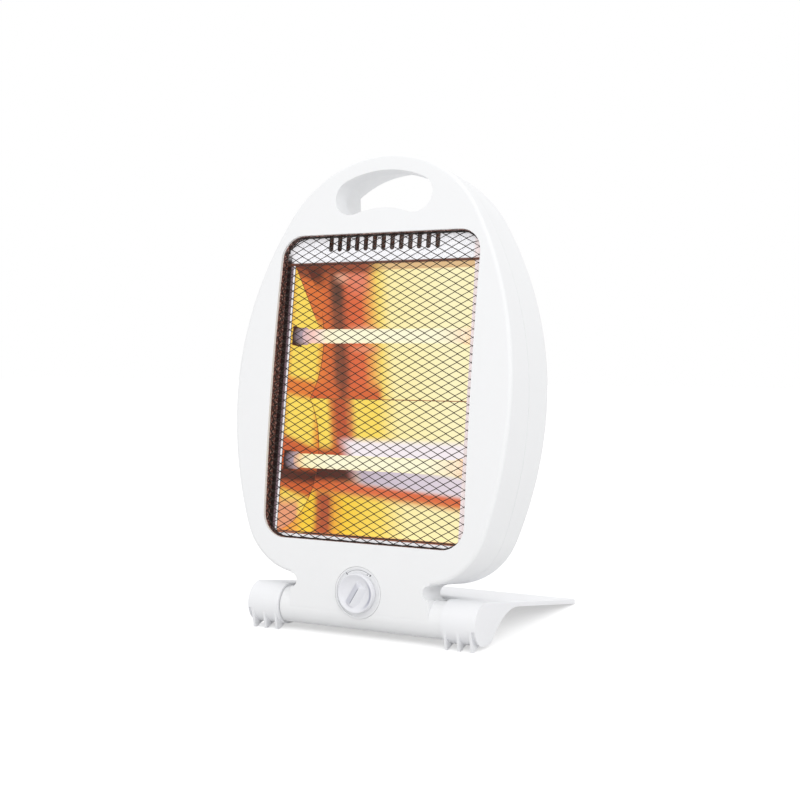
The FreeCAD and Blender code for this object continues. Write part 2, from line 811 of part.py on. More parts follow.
def guard_shape():
    """A pan of expanded mesh that follows the face, with a skirt back to the reflector flange."""
    half = S.window_half_width - S.guard_gap
    low = S.window_bottom_height + S.guard_gap
    high = S.window_top_height - S.guard_gap
    radius = S.window_corner_radius - S.guard_gap
    limit = -S.face_peak_depth - S.overrun
    rim = Part.Wire(Part.__sortEdges__(rounded_rectangle(half, low, high, radius)))
    net = Part.Face([rim] + guard_cells(half, low, high, radius), "Part::FaceMakerBullseye")
    net.translate(ALONG_Y * limit)
    net = net.extrude(ALONG_Y * (S.back_peak_depth - limit))
    net = net.common(face_cylinder(S.guard_setback))
    net = net.cut(face_cylinder(S.guard_setback + S.guard_sheet))
    outside = prism(rounded_rectangle(half, low, high, radius), limit, -S.flange_depth, ALONG_Y)
    inner_low, inner_high = low + S.guard_sheet, high - S.guard_sheet
    inside_edges = rounded_rectangle(
        half - S.guard_sheet, inner_low, inner_high, radius - S.guard_sheet
    )
    skirt = outside.cut(prism(inside_edges, limit, -S.flange_depth + S.overrun, ALONG_Y))
    skirt = skirt.common(face_cylinder(S.guard_setback))
    return joined([net, skirt])


def guard_cells(half, low, high, radius):
    """The diamond holes that lie wholly inside the border."""
    border = S.guard_border
    middle = (low + high) / 2
    reach, rise = half - border, (high - low) / 2 - border
    corner = radius - border
    wide = S.cell_width / 2 - S.cell_wire
    tall = wide * S.cell_height / S.cell_width
    columns, rows = int(2 * reach / S.cell_width) + 2, int(2 * rise / S.cell_height) + 2

    def inside(across, up):
        beyond = max(abs(across) - (reach - corner), 0), max(abs(up) - (rise - corner), 0)
        return math.hypot(*beyond) < corner

    cells = []
    for row in range(-2 * rows, 2 * rows + 1):
        for column in range(-columns, columns + 1):
            across = (column + (row % 2) / 2) * S.cell_width
            up = row * S.cell_height / 2
            corners = [(across + wide, up), (across, up + tall)]
            corners += [(across - wide, up), (across, up - tall)]
            if all(inside(*corner_place) for corner_place in corners):
                points = [(place[0], middle + place[1]) for place in corners]
                cells.append(Part.Wire(outline(front, points)))
    return cells


def flange_shape():
    """The bright sheet in front of the troughs, with slots along its top panel."""
    start, end = -S.flange_depth, -S.flange_depth + S.sheet_thickness
    edges = rounded_rectangle(
        S.flange_half_width, S.flange_bottom_height, S.flange_top_height, S.flange_corner_radius
    )
    sheet_shape = prism(edges, start, end, ALONG_Y)
    ears = [rod(S.flange_ear_radius, start, end, ALONG_Y, Vector(x, 0, z)) for x, z in ear_places()]
    sheet_shape = joined([sheet_shape] + ears)
    bottom, top = S.mouth_bottom_height, S.mouth_top_height
    mouth = block((-S.trough_half_length, start - S.overrun, bottom), (S.trough_half_length, 0, top))
    sheet_shape = sheet_shape.cut(mouth)
    count = int(S.slot_count)
    for index in range(count):
        across = (index - (count - 1) / 2) * S.slot_pitch
        edges = slot_outline(across, S.slot_bottom_height, S.slot_top_height, S.slot_width)
        sheet_shape = sheet_shape.cut(prism(edges, start - S.overrun, 0, ALONG_Y))
    for x, z in ear_places():
        hole = S.reflector_screw_radius + S.screw_room
        sheet_shape = sheet_shape.cut(rod(hole, start - S.overrun, 0, ALONG_Y, Vector(x, 0, z)))
    return sheet_shape


# Screws, wires and other groups of small solids

def screw(radius, grip, head_radius, head_height, seat, along):
    """A screw whose head stands on its seat, with its shank running back from there."""
    head = rod(head_radius, 0, head_height, along)
    shank = rod(radius, -grip, 0, along)
    whole = joined([head, shank])
    whole.translate(seat)
    return whole


def cover_screws_shape():
    screws = []
    for across, up in boss_places():
        seat = Vector(across, parting_depth(up) + S.cover_screw_seat, up)
        screws.append(screw(
            S.cover_screw_radius, S.cover_screw_grip + S.cover_screw_seat,
            S.cover_screw_head_radius, S.cover_screw_head_height, seat, ALONG_Y,
        ))
    return Part.makeCompound(screws)


def reflector_screws_shape():
    screws = []
    for across, up in ear_places():
        seat = Vector(across, S.sheet_thickness - S.flange_depth, up)
        screws.append(screw(
            S.reflector_screw_radius, S.reflector_screw_grip,
            S.reflector_screw_head_radius, S.reflector_screw_head_height, seat, ALONG_Y,
        ))
    return Part.makeCompound(screws)


def switch_screws_shape():
    screws = []
    for across in (-S.switch_screw_reach, S.switch_screw_reach):
        seat = Vector(across, S.dial_recess + S.switch_screw_head_height, 0)
        grip = S.switch_screw_grip
        screws.append(screw(
            S.switch_screw_radius, grip, S.switch_screw_head_radius,
            S.switch_screw_head_height, seat, -ALONG_Y,
        ))
    return Part.makeCompound(screws)


def clamp_screws_shape():
    screws = []
    for across in clamp_places():
        seat_height = floor_height() + S.clamp_rise + S.clamp_bar_thickness
        grip = S.clamp_screw_grip + S.clamp_bar_thickness
        screws.append(screw(
            S.clamp_screw_radius, grip, S.clamp_screw_head_radius, S.clamp_screw_head_height,
            Vector(across, S.clamp_depth, seat_height), ALONG_Z,
        ))
    return Part.makeCompound(screws)


def wire_solid(points):
    """A wire along straight runs joined by tangent arcs."""
    corners = [Vector(*point) for point in points]
    radius = S.wire_bend_radius
    edges, here = [], corners[0]
    for before, corner, after in zip(corners, corners[1:], corners[2:]):
        came = (corner - before).normalize()
        goes = (after - corner).normalize()
        turn = came.getAngle(goes)
        trim = radius * math.tan(turn / 2)
        start, end = corner - came * trim, corner + goes * trim
        bisector = (goes - came).normalize()
        centre = corner + bisector * (radius / math.cos(turn / 2))
        middle = centre - bisector * radius
        edges.append(Part.LineSegment(here, start).toShape())
        edges.append(Part.Arc(start, middle, end).toShape())
        here = end
    edges.append(Part.LineSegment(here, corners[-1]).toShape())
    path = Part.Wire(edges)
    direction = (corners[1] - corners[0]).normalize()
    section = Part.Wire(Part.makeCircle(S.wire_radius, corners[0], direction))
    return path.makePipeShell([section], True, False)


def switch_top():
    """A point on top of the switch, in the body's frame."""
    middle = S.dial_recess + S.wall + S.switch_depth / 2
    place = leaned().inverse() * dialled()
    return place.multVec(Vector(0, middle, S.switch_height / 2 + S.wire_gap))


def supply_leads_shape():
    """Two wires from the terminal block to the switch."""
    leads = []
    top = floor_height() + S.floor_gap + S.terminal_rise + S.wire_gap
    start_depth = S.terminal_front + S.terminal_width * 3 / 4
    pole_pitch = S.terminal_length / S.terminal_count
    goal = switch_top()
    for index in (0, 1):
        start_across = S.terminal_left + pole_pitch * (index + 1.5)
        end_across = goal.x - (1 - index) * S.wire_start_pitch * 2
        run = S.wire_run_height + (index + 1) * S.wire_pitch
        leads.append(wire_solid([
            (start_across, start_depth, top),
            (start_across, start_depth, run),
            (end_across, goal.y + S.wire_radius, run),
            (end_across, goal.y + S.wire_radius, goal.z),
        ]))
    return Part.makeCompound(leads)


def tube_leads_shape(direction):
    """Two wires on one side, from the switch up to the ends of the two tubes."""
    goal = switch_top()
    depth = goal.y - S.wire_pitch
    side_across = direction * S.wire_side_reach
    end_across = direction * (S.lead_pin_reach + S.wire_gap)
    leads = []
    levels = ((S.lower_tube_height, S.tube_depth), (S.upper_tube_height, S.wire_outer_depth))
    for index, (height, run_depth) in enumerate(levels):
        start_across = direction * (S.wire_start_pitch * 2.5 - index * S.wire_start_pitch)
        run = S.wire_run_height + (index - 0.5) * S.wire_pitch
        points = [
            (start_across, depth, goal.z),
            (start_across, depth, run),
            (direction * S.wire_turn_reach, run_depth, run),
            (side_across, run_depth, S.wire_side_height),
        ]
        if run_depth > S.tube_depth:
            points.append((side_across, run_depth, height - S.wire_side_height / 3))
        points += [(side_across, S.tube_depth, height), (end_across, S.tube_depth, height)]
        leads.append(wire_solid(points))
    return Part.makeCompound(leads)


# Folding stand

def plate_slope():
    """The plate's slope, which lays it on top of the drums and sets its rear edge on the floor."""
    drop = S.axis_height + S.drum_radius - S.plate_thickness
    slope = math.atan2(drop, S.stand_reach)
    for _ in range(int(S.fin_count) * 4):
        rear_top = S.drum_radius / math.cos(slope) - S.stand_reach * math.tan(slope)
        rear_bottom = rear_top - S.plate_thickness / math.cos(slope)
        slope += (rear_bottom + S.axis_height + S.rest_flat) / S.stand_reach
    return slope


def plate_height(depth, drop=0.0):
    """The height of the plate's top at a depth behind the axis, or of a level that far under it."""
    slope = plate_slope()
    return (S.drum_radius - drop) / math.cos(slope) - depth * math.tan(slope)


def plate_shape():
    """The rear plate with round rear corners, cut flat where it stands on the floor."""
    start = S.barrel_radius + S.plate_setback
    end, low = S.stand_reach, -S.axis_height
    thick = S.plate_thickness
    middle = [
        (start, plate_height(start)),
        (end, plate_height(end)),
        (end, plate_height(end, thick)),
        (start, plate_height(start, thick)),
    ]
    slope = plate_slope()
    rise = S.drum_radius * math.cos(slope), S.drum_radius * math.sin(slope)
    arm = [
        (rise[1], rise[0]),
        (end, plate_height(end)),
        (end, plate_height(end, thick)),
        (rise[1], plate_height(rise[1], thick)),
    ]
    inner, outer = S.barrel_half_length + S.drum_gap, S.stand_half_width
    plate = joined([
        prism(outline(side, middle), -outer, outer, ALONG_X),
        prism(outline(side, arm), -outer, -inner, ALONG_X),
        prism(outline(side, arm), inner, outer, ALONG_X),
    ])
    radius = S.plate_corner_radius
    x, y = outer - radius, end - radius
    plan = [
        line(flat, (-outer, 0), (outer, 0)),
        line(flat, (outer, 0), (outer, y)),
        arc(flat, (x, y), radius, 0, 90),
        line(flat, (x, end), (-x, end)),
        arc(flat, (-x, y), radius, 90, 180),
        line(flat, (-outer, y), (-outer, 0)),
    ]
    plate = plate.common(prism(plan, low, S.drum_radius + S.overrun, ALONG_Z))
    top_edges = [edge for edge in plate.Edges if is_rear_top_edge(edge)]
    return plate.makeFillet(S.plate_edge_radius, top_edges)


def is_rear_top_edge(edge):
    """Whether an edge bounds the top of the plate at its sides or rear."""
    tolerance = S.tolerance
    ends = [vertex.Point for vertex in edge.Vertexes]
    on_top = all(abs(point.z - plate_height(point.y)) < tolerance for point in ends)
    inner = S.barrel_radius + S.plate_setback
    straight = S.stand_half_width - S.plate_corner_radius
    outside = all(abs(point.x) > straight - tolerance for point in ends)
    return on_top and outside and all(point.y > inner - tolerance for point in ends)


def arm_profile():
    """The side profile that runs from the heel of the drum through a hollow curve into the plate."""
    slope = plate_slope()
    heel = (S.heel_depth, -S.heel_drop)
    level = S.drum_radius - S.plate_thickness

    def tipped(point):
        """A point of the plate's sloping frame in the side view."""
        u, v = point
        return u * math.cos(slope) + v * math.sin(slope), v * math.cos(slope) - u * math.sin(slope)

    heel_u = heel[0] * math.cos(slope) - heel[1] * math.sin(slope)
    heel_v = heel[0] * math.sin(slope) + heel[1] * math.cos(slope)
    centre_v = level - S.arm_hollow_radius
    apart = S.heel_radius + S.arm_hollow_radius
    centre_u = heel_u + math.sqrt(apart ** 2 - (centre_v - heel_v) ** 2)
    centre = tipped((centre_u, centre_v))
    to_heel = math.degrees(math.atan2(heel[1] - centre[1], heel[0] - centre[0]))
    to_plate = 90 - math.degrees(slope)
    if to_heel < 0:
        to_heel += 360
    touch = around(centre, S.arm_hollow_radius, to_heel)
    seat = around(centre, S.arm_hollow_radius, to_plate)
    above = tipped((centre_u, level + S.plate_thickness / 2))
    start = tipped((0, level + S.plate_thickness / 2))
    return [
        line(side, heel, touch),
        arc(side, centre, S.arm_hollow_radius, to_heel, to_plate),
        line(side, seat, above),
        line(side, above, start),
        line(side, start, heel),
    ]


def fin_profile():
    """A foot fin: it runs down from the front of the drum to a small flat on the floor."""
    floor = -S.axis_height
    tip = -S.fin_tip_depth
    front_edge = -math.sqrt(S.drum_radius ** 2 - S.fin_front_drop ** 2)
    return [
        (front_edge, -S.fin_front_drop),
        (tip, floor),
        (tip + S.fin_tip_flat, floor),
        (0, -S.drum_radius + S.fin_thickness / 2),
        (0, -S.fin_front_drop),
    ]


def stand_shape():
    inner, outer = S.barrel_half_length + S.drum_gap, S.stand_half_width
    heel = Vector(0, S.heel_depth, -S.heel_drop)
    sides = [
        rod(S.drum_radius, inner, outer, ALONG_X),
        rod(S.heel_radius, inner, outer, ALONG_X, heel),
        prism(heel_web(), inner, outer, ALONG_X),
        prism(arm_profile(), inner, outer, ALONG_X),
        rod(S.hinge_pin_radius, inner - S.drum_gap - S.hinge_pin_length, inner + S.wall, ALONG_X),
    ]
    for index in range(int(S.fin_count)):
        middle = S.fin_outer_reach - index * S.fin_pitch
        half = S.fin_thickness / 2
        sides.append(prism(outline(side, fin_profile()), middle - half, middle + half, ALONG_X))
    right = joined(sides)
    slot_start = S.fin_outer_reach + S.fin_thickness / 2
    ring = rod(S.drum_radius + S.overrun, slot_start, slot_start + S.drum_slot_width, ALONG_X)
    ring = ring.cut(rod(S.drum_radius - S.drum_slot_depth, slot_start, outer, ALONG_X))
    beyond = -S.drum_radius - S.overrun
    corner = block((0, beyond, beyond), (outer, 0, -S.fin_front_drop))
    right = right.cut(ring.common(corner))
    floor = block(
        (-outer - S.overrun, -S.stand_reach, -S.axis_height - S.overrun),
        (outer + S.overrun, S.stand_reach + S.overrun, -S.axis_height),
    )
    return joined([right, mirrored(right), plate_shape()]).cut(floor).removeSplitter()


def heel_web():
    """Fills the drum's underside between its lowest point and the heel's."""
    drum, heel = S.drum_radius, S.heel_radius
    points = [(0, 0), (0, -drum), (S.heel_depth, -S.heel_drop - heel), (S.heel_depth, 0)]
    return outline(side, points)


# Helpers for bodies that are sketched and padded

def number(formula):
    """The present value of a formula in the sheet's sizes."""
    return float(sheet.evalExpression(formula))


def new_body(name):
    body = doc.addObject("PartDesign::Body", name)
    body.Label = name
    return body


def new_sketch(body, lift="0"):
    """A sketch on the body's base plane, lifted along Z by a formula."""
    sketch = body.newObject("Sketcher::SketchObject", body.Name + "_sketch")
    plane = next(item for item in body.Origin.OriginFeatures if item.Role == "XY_Plane")
    sketch.AttachmentSupport = [(plane, "")]
    sketch.MapMode = "FlatFace"
    sketch.setExpression(".AttachmentOffset.Base.z", lift)
    return sketch


def draw_circle(sketch, radius, across="0", up="0"):
    """A circle whose radius and centre are formulas."""
    centre = Vector(number(across), number(up), 0)
    index = sketch.addGeometry(Part.Circle(centre, ALONG_Z, number(radius)), False)
    hold(sketch, Sketcher.Constraint("Radius", index, number(radius)), radius)
    place_point(sketch, index, 3, across, up)


def draw_rectangle(sketch, left, right, low, high):
    """A rectangle between four formulas."""
    corners = [(left, low), (right, low), (right, high), (left, high)]
    points = [Vector(number(across), number(up), 0) for across, up in corners]
    first = None
    for here, there in zip(points, points[1:] + points[:1]):
        index = sketch.addGeometry(Part.LineSegment(here, there), False)
        first = index if first is None else first
    for offset in range(4):
        following = first + (offset + 1) % 4
        sketch.addConstraint(Sketcher.Constraint("Coincident", first + offset, 2, following, 1))
        place_point(sketch, first + offset, 1, *corners[offset])


def place_point(sketch, index, end, across, up):
    """Holds a point of the sketch at two formulas from its origin."""
    for kind, formula, axis in (("DistanceX", across, -2), ("DistanceY", up, -1)):
        if formula == "0":
            sketch.addConstraint(Sketcher.Constraint("PointOnObject", index, end, axis))
        else:
            held = Sketcher.Constraint(kind, -1, 1, index, end, number(formula))
            hold(sketch, held, formula)


def hold(sketch, constraint, formula):
    """Adds a constraint whose value is a formula."""
    place = sketch.addConstraint(constraint)
    sketch.setExpression("Constraints[%d]" % place, formula)


def pad(body, sketch, length):
    feature = body.newObject("PartDesign::Pad", sketch.Name + "_pad")
    feature.Profile = sketch
    feature.setExpression("Length", length)
    sketch.Visibility = False
    doc.recompute()
    return feature


def pocket(body, sketch, length, upward=False):
    """Cuts from the sketch down into the body, or upwards."""
    feature = body.newObject("PartDesign::Pocket", sketch.Name + "_pocket")
    feature.Profile = sketch
    feature.setExpression("Length", length)
    feature.Reversed = upward
    doc.recompute()
    return feature


def sized(kind, name, formulas):
    """A primitive whose properties are formulas."""
    thing = doc.addObject(kind, name)
    for path, formula in formulas.items():
        thing.setExpression(path, formula)
    return thing


def crossbar(name, radius, start, end, depth="0", height="0"):
    """A round bar along X between two formulas."""
    thing = sized("Part::Cylinder", name, {"Radius": radius, "Height": "(%s) - (%s)" % (end, start)})
    thing.Placement = Placement(Vector(), Rotation(ALONG_Y, QUARTER_TURN))
    for path, formula in (("x", start), ("y", depth), ("z", height)):
        thing.setExpression("Placement.Base." + path, formula)
    return thing


def brick(name, low, high):
    """A box between two corners that are given as formulas."""
    formulas = {}
    for size, path, start, end in zip(("Length", "Width", "Height"), "xyz", low, high):
        formulas[size] = "(%s) - (%s)" % (end, start)
        formulas["Placement.Base." + path] = start
    return sized("Part::Box", name, formulas)


def cut_of(name, base, tool):
    result = doc.addObject("Part::Cut", name)
    result.Base = base
    result.Tool = tool
    return result


def fuse_of(name, shapes):
    result = doc.addObject("Part::MultiFuse", name)
    result.Shapes = shapes
    return result


nodes = []


def keep(thing, place):
    """Lists a finished piece and puts it in its place."""
    thing.Placement = place
    nodes.append(thing)


def keep_shape(name, shape, place):
    """Keeps a piece whose shape comes from a function of the sizes."""
    thing = doc.addObject("Part::Feature", name)
    thing.Label = name
    thing.Shape = shape
    keep(thing, place)


# Pieces made of primitives

def trough_shell(name, level, low, high):
    """A bent sheet between two heights, open to the front."""
    half, over = "Sizes.trough_half_length", "(Sizes.trough_half_length + Sizes.overrun)"
    radius, centre = "Sizes.%s_trough_radius" % level, "Sizes.%s_trough_depth" % level
    outer, height = radius + " + Sizes.sheet_thickness", "Sizes.%s_trough_height" % level
    outside = crossbar(name + "_out", outer, "-" + half, half, centre, height)
    inside = crossbar(name + "_in", radius, "-" + over, over, centre, height)
    room = brick(
        name + "_room",
        ("-" + half, "Sizes.sheet_thickness - Sizes.flange_depth", low),
        (half, "%s + %s + Sizes.overrun" % (centre, outer), high),
    )
    shell = doc.addObject("Part::Common", name)
    shell.Base = cut_of(name + "_pipe", outside, inside)
    shell.Tool = room
    return shell


def make_troughs():
    """Two round troughs that meet in a ridge set back from the mouth, the upper one with a roof."""
    top = "(Sizes.mouth_top_height - Sizes.trough_gap)"
    low = "Sizes.ridge_height + Sizes.trough_gap / 2"
    bent = trough_shell("upper_bend", "upper", low, top)
    outer = "(Sizes.upper_trough_radius + Sizes.sheet_thickness)"
    roof_end = "Sizes.upper_trough_depth + sqrt(%s ^ 2 - (%s - Sizes.upper_trough_height) ^ 2)"
    roof = brick(
        "upper_roof",
        ("-Sizes.trough_half_length", "Sizes.sheet_thickness - Sizes.flange_depth",
         top + " - Sizes.sheet_thickness"),
        ("Sizes.trough_half_length", roof_end % (outer, top), top),
    )
    upper = fuse_of("reflector_upper", [bent, roof])
    upper.Label = "reflector_upper"
    keep(upper, leaned())

    high = "Sizes.ridge_height - Sizes.trough_gap / 2"
    lower = trough_shell("reflector_lower", "lower", "Sizes.mouth_bottom_height", high)
    lower.Label = "reflector_lower"
    keep(lower, leaned())


def make_end_plates():
    """The flat end walls of the troughs, with holes for the tube caps."""
    mouth = "Sizes.sheet_thickness - Sizes.flange_depth"
    reach = "Sizes.lower_trough_depth + Sizes.lower_trough_radius + Sizes.sheet_thickness"
    back = reach + " + Sizes.end_plate_rim"
    low = "Sizes.mouth_bottom_height - Sizes.end_plate_rim"
    high = "Sizes.mouth_top_height + Sizes.end_plate_rim"
    half, thick = "Sizes.trough_half_length", "Sizes.sheet_thickness"
    sides = (
        ("reflector_end_left", "-%s - %s" % (half, thick), "-" + half),
        ("reflector_end_right", half, "%s + %s" % (half, thick)),
    )
    for name, start, end in sides:
        plate = brick(name + "_sheet", (start, mouth, low), (end, back, high))
        holes = []
        for level in ("upper", "lower"):
            holes.append(crossbar(
                name + "_" + level, "Sizes.cap_neck_radius + Sizes.cap_gap",
                "%s - Sizes.overrun" % start, "%s + Sizes.overrun" % end,
                "Sizes.tube_depth", "Sizes.%s_tube_height" % level,
            ))
        plate_cut = cut_of(name, plate, fuse_of(name + "_holes", holes))
        plate_cut.Label = name
        keep(plate_cut, leaned())


def make_tube(level):
    """A quartz tube with its heating coil and two ceramic caps."""
    depth, height = "Sizes.tube_depth", "Sizes.%s_tube_height" % level
    half = "Sizes.tube_half_length"
    outside = crossbar(level + "_tube_out", "Sizes.tube_radius", "-" + half, half, depth, height)
    bore = "Sizes.tube_radius - Sizes.tube_wall"
    over = "%s + Sizes.overrun" % half
    inside = crossbar(level + "_tube_in", bore, "-(%s)" % over, over, depth, height)
    tube = cut_of(level + "_quartz_tube", outside, inside)
    tube.Label = level + "_quartz_tube"
    keep(tube, leaned())

    coil_half = "Sizes.coil_half_length"
    inner_half = "(Sizes.coil_half_length - Sizes.coil_wire)"
    outer = "Sizes.coil_radius"
    sleeve = crossbar(level + "_coil_out", outer, "-" + coil_half, coil_half, depth, height)
    inner = "Sizes.coil_radius - Sizes.coil_wire"
    room = crossbar(level + "_coil_in", inner, "-" + inner_half, inner_half, depth, height)
    reach = "Sizes.lead_pin_reach"
    pin = crossbar(level + "_coil_pin", "Sizes.lead_pin_radius", "-" + reach, reach, depth, height)
    coil = fuse_of(level + "_heating_coil", [cut_of(level + "_coil_sleeve", sleeve, room), pin])
    coil.Label = level + "_heating_coil"
    keep(coil, leaned())
    for hand, turn in (("left", 180), ("right", 0)):
        make_cap(level, hand, turn)


def make_cap(level, hand, turn):
    """A ceramic cap: a thick sleeve inside the trough and a neck through the end wall."""
    name = "%s_cap_%s" % (level, hand)
    shoulder = "Sizes.trough_half_length - Sizes.cap_gap"
    start = "Sizes.cap_inner_reach"
    head = crossbar(name + "_head", "Sizes.cap_radius", start, shoulder)
    neck = crossbar(name + "_neck", "Sizes.cap_neck_radius", start, "Sizes.cap_outer_reach")
    socket = crossbar(
        name + "_socket", "Sizes.tube_radius + Sizes.tube_fit",
        "Sizes.cap_inner_reach - Sizes.overrun", "Sizes.tube_half_length + Sizes.tube_fit",
    )
    lead = crossbar(
        name + "_lead", "Sizes.lead_pin_radius + Sizes.tube_fit",
        "Sizes.cap_inner_reach", "Sizes.cap_outer_reach + Sizes.overrun",
    )
    cap = cut_of(name, fuse_of(name + "_body", [head, neck]), fuse_of(name + "_bores", [socket, lead]))
    cap.Label = name
    centre = Vector(0, S.tube_depth, getattr(S, level + "_tube_height"))
    keep(cap, leaned() * Placement(centre, Rotation(ALONG_Z, turn)))


def brackets_shape():
    """Four spring plates that hold the cap necks against the end walls."""
    plates = []
    start = S.trough_half_length + S.sheet_thickness + S.cap_gap
    half = S.bracket_size / 2
    for height in (S.upper_tube_height, S.lower_tube_height):
        centre = Vector(0, S.tube_depth, height)
        plate = block(
            (start, S.tube_depth - half, height - half),
            (start + S.bracket_sheet, S.tube_depth + half, height + half),
        )
        plate = plate.cut(rod(S.cap_neck_radius + S.cap_gap, 0, S.cap_outer_reach, ALONG_X, centre))
        plates += [plate, mirrored(plate)]
    return Part.makeCompound(plates)


def make_terminal_block():
    low = "Sizes.body_bottom_height + Sizes.wall + Sizes.floor_gap"
    top = low + " + Sizes.terminal_rise"
    right = "Sizes.terminal_left + Sizes.terminal_length"
    back = "Sizes.terminal_front + Sizes.terminal_width"
    start = ("Sizes.terminal_left", "Sizes.terminal_front", low)
    block_body = brick("terminal_body", start, (right, back, top))
    holes = []
    pitch = "Sizes.terminal_length / Sizes.terminal_count"
    for index in range(int(S.terminal_count)):
        holes.append(sized("Part::Cylinder", "terminal_hole_%d" % index, {
            "Radius": "Sizes.terminal_screw_radius",
            "Height": "Sizes.terminal_screw_depth + Sizes.overrun",
            "Placement.Base.x": "Sizes.terminal_left + %s * (%d + 0.5)" % (pitch, index),
            "Placement.Base.y": "Sizes.terminal_front + Sizes.terminal_width / 4",
            "Placement.Base.z": "%s - Sizes.terminal_screw_depth" % top,
        }))
    terminal = cut_of("terminal_block", block_body, fuse_of("terminal_holes", holes))
    terminal.Label = "terminal_block"
    keep(terminal, leaned())


def make_micro_switch():
    """The small switch on the side of the tip-over frame, with its button towards the weight."""
    start = "Sizes.tip_frame_left + Sizes.tip_frame_length + Sizes.floor_gap"
    end = start + " + Sizes.micro_length"
    low = "Sizes.body_bottom_height + Sizes.wall + Sizes.micro_lift"
    high = low + " + Sizes.micro_rise"
    middle = "Sizes.tip_frame_front + Sizes.tip_frame_width / 2"
    near = middle + " - Sizes.micro_width / 2"
    far = middle + " + Sizes.micro_width / 2"
    case = brick("micro_case", (start, near, low), (end, far, high))
    button = crossbar(
        "micro_button", "Sizes.micro_button_radius", start + " - Sizes.micro_button_reach", end,
        middle, low + " + Sizes.micro_rise / 2",
    )
    switch = fuse_of("micro_switch", [case, button])
    switch.Label = "micro_switch"
    keep(switch, leaned())


def make_cutout():
    """The thermal cut-out on the outside of the right end wall."""
    wall_face = "Sizes.trough_half_length + Sizes.sheet_thickness + Sizes.cutout_gap"
    depth, height = "Sizes.tube_depth", "Sizes.cutout_height"
    parts = []
    sizes = (("flange", "Sizes.cutout_radius"), ("can", "Sizes.cutout_can_radius"))
    for name, radius in sizes:
        length = "Sizes.cutout_flange_length" if name == "flange" else "Sizes.cutout_length"
        end = "%s + %s" % (wall_face, length)
        parts.append(crossbar("cutout_" + name, radius, wall_face, end, depth, height))
    cutout = fuse_of("thermal_cutout", parts)
    cutout.Label = "thermal_cutout"
    keep(cutout, leaned())


# Tip-over switch

def swing_axis():
    """The middle of the swing pin, in the body's frame."""
    return Vector(
        S.tip_frame_left + S.tip_frame_length / 2,
        S.tip_frame_front + S.tip_frame_width / 2,
        floor_height() + S.floor_gap + S.swing_height,
    )


def tip_frame_shape():
    """An open frame with a hole in its front and back walls for the swing pin."""
    low = (S.tip_frame_left, S.tip_frame_front, floor_height() + S.floor_gap)
    high = (
        low[0] + S.tip_frame_length,
        low[1] + S.tip_frame_width,
        low[2] + S.tip_frame_rise,
    )
    wall = S.tip_frame_wall
    inner_low = (low[0] - S.overrun, low[1] + wall, low[2] + wall)
    inner_high = (high[0] + S.overrun, high[1] - wall, high[2] - wall)
    frame = block(low, high).cut(block(inner_low, inner_high))
    hole = S.swing_pin_radius + S.swing_pin_play
    reach = S.tip_frame_width
    return frame.cut(rod(hole, -reach, reach, ALONG_Y, swing_axis()))


def weight_shape():
    """The pin, the arm and the round weight, in one piece."""
    axis = swing_axis()
    half = S.tip_frame_width / 2
    pin = rod(S.swing_pin_radius, -half, half, ALONG_Y, axis)
    arm_half = S.swing_arm_width / 2
    arm = block(
        (axis.x - arm_half, axis.y - arm_half, axis.z - S.swing_arm_length),
        (axis.x + arm_half, axis.y + arm_half, axis.z),
    )
    low = axis - ALONG_Z * S.swing_arm_length
    weight = rod(S.weight_radius, -S.weight_width / 2, S.weight_width / 2, ALONG_Y, low)
    return joined([pin, arm, weight])


# Dial, knob, shaft and switch

def make_dial_plate():
    """A thin disc with a raised rim, which lies in the recess."""
    body = new_body("dial_plate")
    radius = "Sizes.dial_radius - Sizes.dial_play"
    disc = new_sketch(body)
    draw_circle(disc, radius)
    pad(body, disc, "Sizes.dial_recess")
    well = new_sketch(body, "Sizes.dial_recess")
    draw_circle(well, radius + " - Sizes.dial_rim_width")
    pocket(body, well, "Sizes.dial_recess - Sizes.dial_plate_thickness")
    hole = new_sketch(body, "Sizes.dial_recess")
    draw_circle(hole, "Sizes.shaft_radius + Sizes.shaft_hole_play")
    pocket(body, hole, "Sizes.dial_recess + Sizes.overrun")
    keep(body, facing_out(S.dial_recess))


def make_knob():
    """A cup-shaped knob with a grip bar across it, and a bore for the shaft."""
    body = new_body("control_knob")
    tall = "Sizes.knob_proud + Sizes.dial_recess - Sizes.dial_plate_thickness - Sizes.knob_gap"
    disc = new_sketch(body)
    draw_circle(disc, "Sizes.knob_radius")
    base = pad(body, disc, tall)
    cup = new_sketch(body, tall)
    draw_circle(cup, "Sizes.knob_radius - Sizes.knob_rim_width")
    pocket(body, cup, "Sizes.knob_cup_depth")
    grip = new_sketch(body, "%s - Sizes.knob_cup_depth" % tall)
    wide, long = "Sizes.grip_width / 2", "Sizes.grip_length / 2"
    draw_rectangle(grip, "-" + wide, wide, "-" + long, long)
    pad(body, grip, "Sizes.knob_cup_depth - Sizes.grip_drop")
    bore = new_sketch(body)
    draw_circle(bore, "Sizes.shaft_radius + Sizes.shaft_play")
    pocket(body, bore, "Sizes.shaft_bite", upward=True)
    bored = body.Tip
    rim = body.newObject("PartDesign::Fillet", "knob_edge")
    rim.Base = (bored, [outer_top_edge(bored.Shape, S.knob_radius)])
    rim.setExpression("Radius", "Sizes.knob_edge_radius")
    doc.recompute()
    depth = S.dial_recess - S.dial_plate_thickness - S.knob_gap
    keep(body, facing_out(depth) * Placement(Vector(), Rotation(ALONG_Z, -S.grip_angle)))


def outer_top_edge(shape, radius):
    """The name of the highest round edge of this radius."""
    found = None
    for index, edge in enumerate(shape.Edges, start=1):
        if isinstance(edge.Curve, Part.Circle) and abs(edge.Curve.Radius - radius) < S.tolerance:
            if found is None or edge.BoundBox.ZMax > found[0]:
                found = (edge.BoundBox.ZMax, "Edge%d" % index)
    return found[1]


